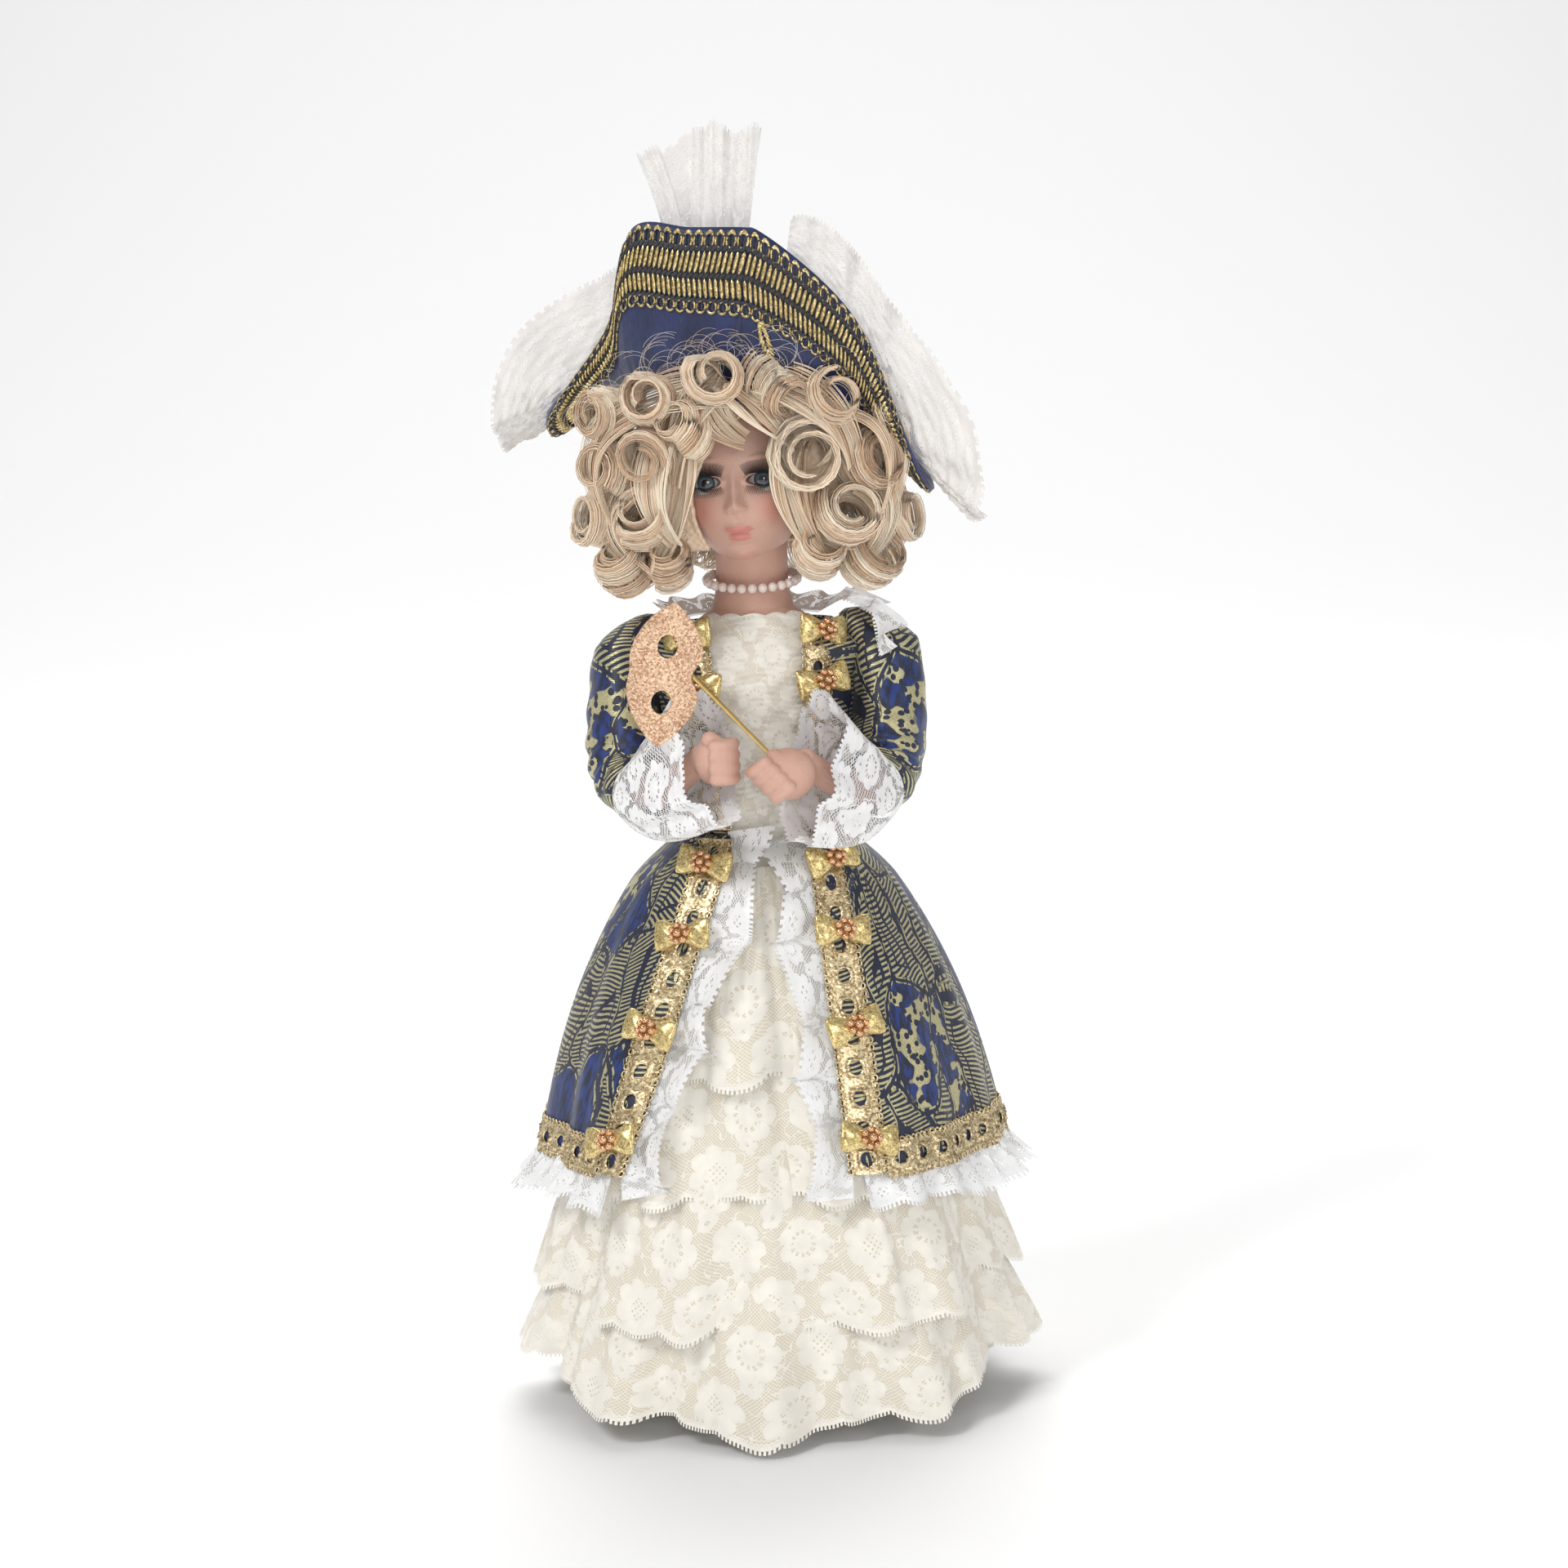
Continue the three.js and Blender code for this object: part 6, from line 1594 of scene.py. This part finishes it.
def brim_point(u, v):
    """v runs from the band to the edge, and on past it. Points are rows."""
    u, v = (np.ravel(a) for a in np.broadcast_arrays(u, v))
    edge = edge_place(u)
    reach = np.linalg.norm(edge[:, :2], axis=1)[:, None]
    out = np.concatenate((edge[:, :2] / reach, np.zeros((len(edge), 1))), 1)
    lifted = np.maximum(0, (edge[:, 2:] + 22) / 70)
    bend = out * mix(27, reach, mix(0.5, 0.96, lifted**0.5)) + np.array((0, 0, -9))
    v = v[:, None]
    inside = out * 27 * (1 - v) ** 2 + 2 * v * (1 - v) * bend + v * v * edge
    past = edge - bend
    past = edge + past / np.linalg.norm(past, axis=1)[:, None] * (v - 1) * 20
    return np.where(v > 1, past, inside)


def beside_brim(u, v, distance):
    """Off the brim's face: outside where the distance is positive."""
    step = 1e-3
    across = brim_point(u + step, v) - brim_point(u - step, v)
    along = brim_point(u, v + step) - brim_point(u, v - step)
    normal = np.cross(across, along)
    normal /= np.linalg.norm(normal, axis=1)[:, None] + 1e-9
    return (brim_point(u, v) + normal * np.ravel(distance)[:, None]).T


navy_satin = satin_finish("navy satin", (0.004, 0.009, 0.045), (0.012, 0.028, 0.13), 0.36, 0.35)


def brim_place(u, v):
    pucker = 0.25 * np.sin(2 * math.pi * 60 * u) * (1 - v) ** 2
    swell = 0.3 * np.sin(2 * math.pi * 9 * u + 4 * v) * np.sin(math.pi * v)
    return beside_brim(u, v, pucker + swell)


brim = shape_cloth("satin_brim", 300, 40, brim_place, (330, 60), closed=True)
thicken(brim, 1.3)
brim.data.transform(hat_pose)
dress(brim, navy_satin, "figure", ["hat_brim"])


def crown_place(u, v):
    theta = 2 * math.pi * u
    rise = math.pi / 2 * v
    panel = 1 - 0.02 * np.abs(np.cos(3 * theta)) ** 8 * np.cos(rise)
    tuck = 0.25 * np.sin(40 * theta) * (1 - v)
    radius = (25.6 * panel + tuck) * np.cos(rise)
    return radius * np.sin(theta), -radius * np.cos(theta), 0.9 + 20.4 * np.sin(rise)


crown = shape_cloth("satin_crown", 200, 40, crown_place, (160, 40), closed=True)
thicken(crown, 1.0)
crown.data.transform(hat_pose)
dress(crown, navy_satin, "figure", ["hat_crown"])

# Along the brim's edge runs a double row of gold and black gimp: slanting bars of gold thread between three
# black cords, with loops of both threads standing out along its edges. A gold leaf hangs from it on one wing.
gold_thread_finish = metal_finish("gold thread", (0.30, 0.20, 0.06), (0.90, 0.74, 0.38), 1900.0, roughness=0.3)
black_cord = clouded_finish(
    "black cord", (0.004, 0.005, 0.010), (0.03, 0.03, 0.045), 1800, bumped=True, roughness=0.6, sheen_weight=0.3
)
BRAID_PITCH = 3.3
BRAID_WIDTH = 13


def thread_loop(at, size, thickness):
    bpy.ops.mesh.primitive_torus_add(
        major_radius=0.001, minor_radius=thickness / 1000, major_segments=12, minor_segments=5
    )
    loop = bpy.context.active_object
    for corner in loop.data.vertices:
        corner.co = Vector((corner.co.x * size[0], corner.co.y * size[1], corner.co.z)) + Vector(at) / 1000
    return loop


gold_parts = []
for row, (middle, lean) in enumerate(((3.5, 0.25), (8.9, -0.2))):
    for k in range(2):
        gold_parts.append(shaped_ball(((k - 0.5) * BRAID_PITCH / 2, middle, 0.3), (0.62, 2.5, 0.6), lean))
gold_parts.append(thread_loop((0, -0.7, 0.2), (1.35, 1.5), 0.27))
gold_parts.append(thread_loop((0.4, 13.1, 0.2), (1.35, 1.5), 0.27))
gold_bars = join_pieces("gold_bars", gold_parts)
black_parts = []
for middle in (0.9, 6.2, 11.6):
    for k in range(2):
        black_parts.append(shaped_ball(((k - 0.5) * BRAID_PITCH / 2, middle, 0.55), (1.0, 0.42, 0.42), 0.35))
black_parts.append(thread_loop((1.4, -0.4, 0.4), (1.2, 1.1), 0.2))
black_parts.append(thread_loop((-1.2, 12.9, 0.4), (1.2, 1.1), 0.2))
black_parts.append(shaped_ball((0, 6.2, -0.2), (1.7, 5.4, 0.3)))
black_bars = join_pieces("black_bars", black_parts)

WALK = np.linspace(0, 1, 1200)
braid_line = brim_point(WALK, 0.85)
WALKED = np.concatenate(((0,), np.cumsum(np.linalg.norm(np.diff(braid_line, axis=0), axis=1))))
cells = round(WALKED[-1] / BRAID_PITCH)


def braid_cell(k):
    def place(points):
        u = np.interp((k + 0.5 + points[:, 0] / BRAID_PITCH) / cells * WALKED[-1], WALKED, WALK)
        span = mix(0.28, 0.19, smooth_step(edge_place(u)[:, 2], 0, 46))
        return beside_brim(u, 0.965 - span * (1 - points[:, 1] / BRAID_WIDTH), 1.1 + points[:, 2]).T
    return place


def on_hat(piece):
    piece.data.transform(hat_pose)
    return piece


cell_places = [braid_cell(k) for k in range(cells)]
gold_braid = on_hat(repeat("hat_braid_gold", gold_bars, cell_places))
dress(gold_braid, gold_thread_finish, "figure", ["hat_gold_braid"])
black_braid = on_hat(repeat("hat_braid_black", black_bars, cell_places))
dress(black_braid, black_cord, "figure")
bpy.data.objects.remove(gold_bars)
bpy.data.objects.remove(black_bars)

leaf_grain = shaped_ball((0, 0, 0.3), (0.5, 1.5, 0.45))


def leaf_grain_at(row, side):
    def place(points):
        lean = side * 0.6
        width = 2.0 * math.sin(math.pi * (row + 1) / 9)
        x = points[:, 0] * math.cos(lean) - points[:, 1] * math.sin(lean) + side * width * 0.55
        y = points[:, 0] * math.sin(lean) + points[:, 1] * math.cos(lean) - row * 1.35
        turned = (x * 0.82 - y * 0.5, x * 0.5 + y * 0.82)
        u = np.interp(WALKED[-1] * 0.118 + turned[0], WALKED, WALK)
        return beside_brim(u, 0.74 + 0.2 * turned[1] / BRAID_WIDTH, 1.0 + points[:, 2]).T
    return place


grain_places = [leaf_grain_at(row, side) for row in range(9) for side in (-1, 1)]
leaf = on_hat(repeat("gold_leaf", leaf_grain, grain_places))
dress(leaf, gold_thread_finish, "figure")
bpy.data.objects.remove(leaf_grain)

# Soft white lace is gathered behind the brim, one length over each ear, and a pleated plume of it stands up
# behind the front panel.
hat_lace = lace_finish("hat lace", (0.76, 0.73, 0.70), (0.86, 0.83, 0.80), 9.0, 0.8, veil=0.45)
HAT_LACE_SPANS = {"left": (3.4 / 15, 6.1 / 15), "right": (11.9 / 15, 14.6 / 15)}
hat_look = hat_lace, "white_lace"
for word, (start, end) in HAT_LACE_SPANS.items():
    def hat_lace_place(u, v, start=start, end=end):
        out = 1 - v
        bulge = 0.35 + 0.65 * np.sin(math.pi * u) ** 0.6 + 0.10 * np.sin(11 * u + 1)
        ruffle = out * (1.5 * np.sin(2 * math.pi * 6.5 * u + 2 * out) + 0.8 * np.sin(2 * math.pi * 15 * u + 3))
        crinkle = 0.3 * np.sin(61 * u + 9 * out) * np.sin(40 * out)
        behind = -2.4 - 1.6 * out + ruffle + crinkle
        return beside_brim(mix(start, end, u), mix(0.86, 1 + bulge, out), behind)

    sew(f"hat_wing_lace_{word}", (180, 36), hat_lace_place, (96, 27), hat_look, "figure",
        f"hat_lace_{word}", pose=hat_pose)


def plume_place(u, v):
    out = 1 - v
    side = 2 * u - 1
    low_lobe = 1 - smooth_step(side, -0.42, -0.28)
    x = -8 + 15 * side * mix(0.85, 1.0, out) - 3.0 * out - 8.0 * low_lobe * out**1.5
    pleats = 1.7 * np.sin(2 * math.pi * 1.6 * side + 2.4 * out) + 0.3 * np.sin(2 * math.pi * 6 * side + 5 * out)
    y = -29.5 + 4 * side**2 + 3 * out + pleats * (0.3 + 0.7 * out) + 3.0 * low_lobe * out
    top = 1.0 - 0.26 * low_lobe + 0.045 * np.sin(8.5 * side + 0.4)
    return x, y, 40 + 35.5 * out * top + 0.4 * np.sin(23 * side) * out


sew("lace_plume", (130, 60), plume_place, (46, 34), hat_look, "figure", "hat_lace_plume",
    pose=hat_pose)
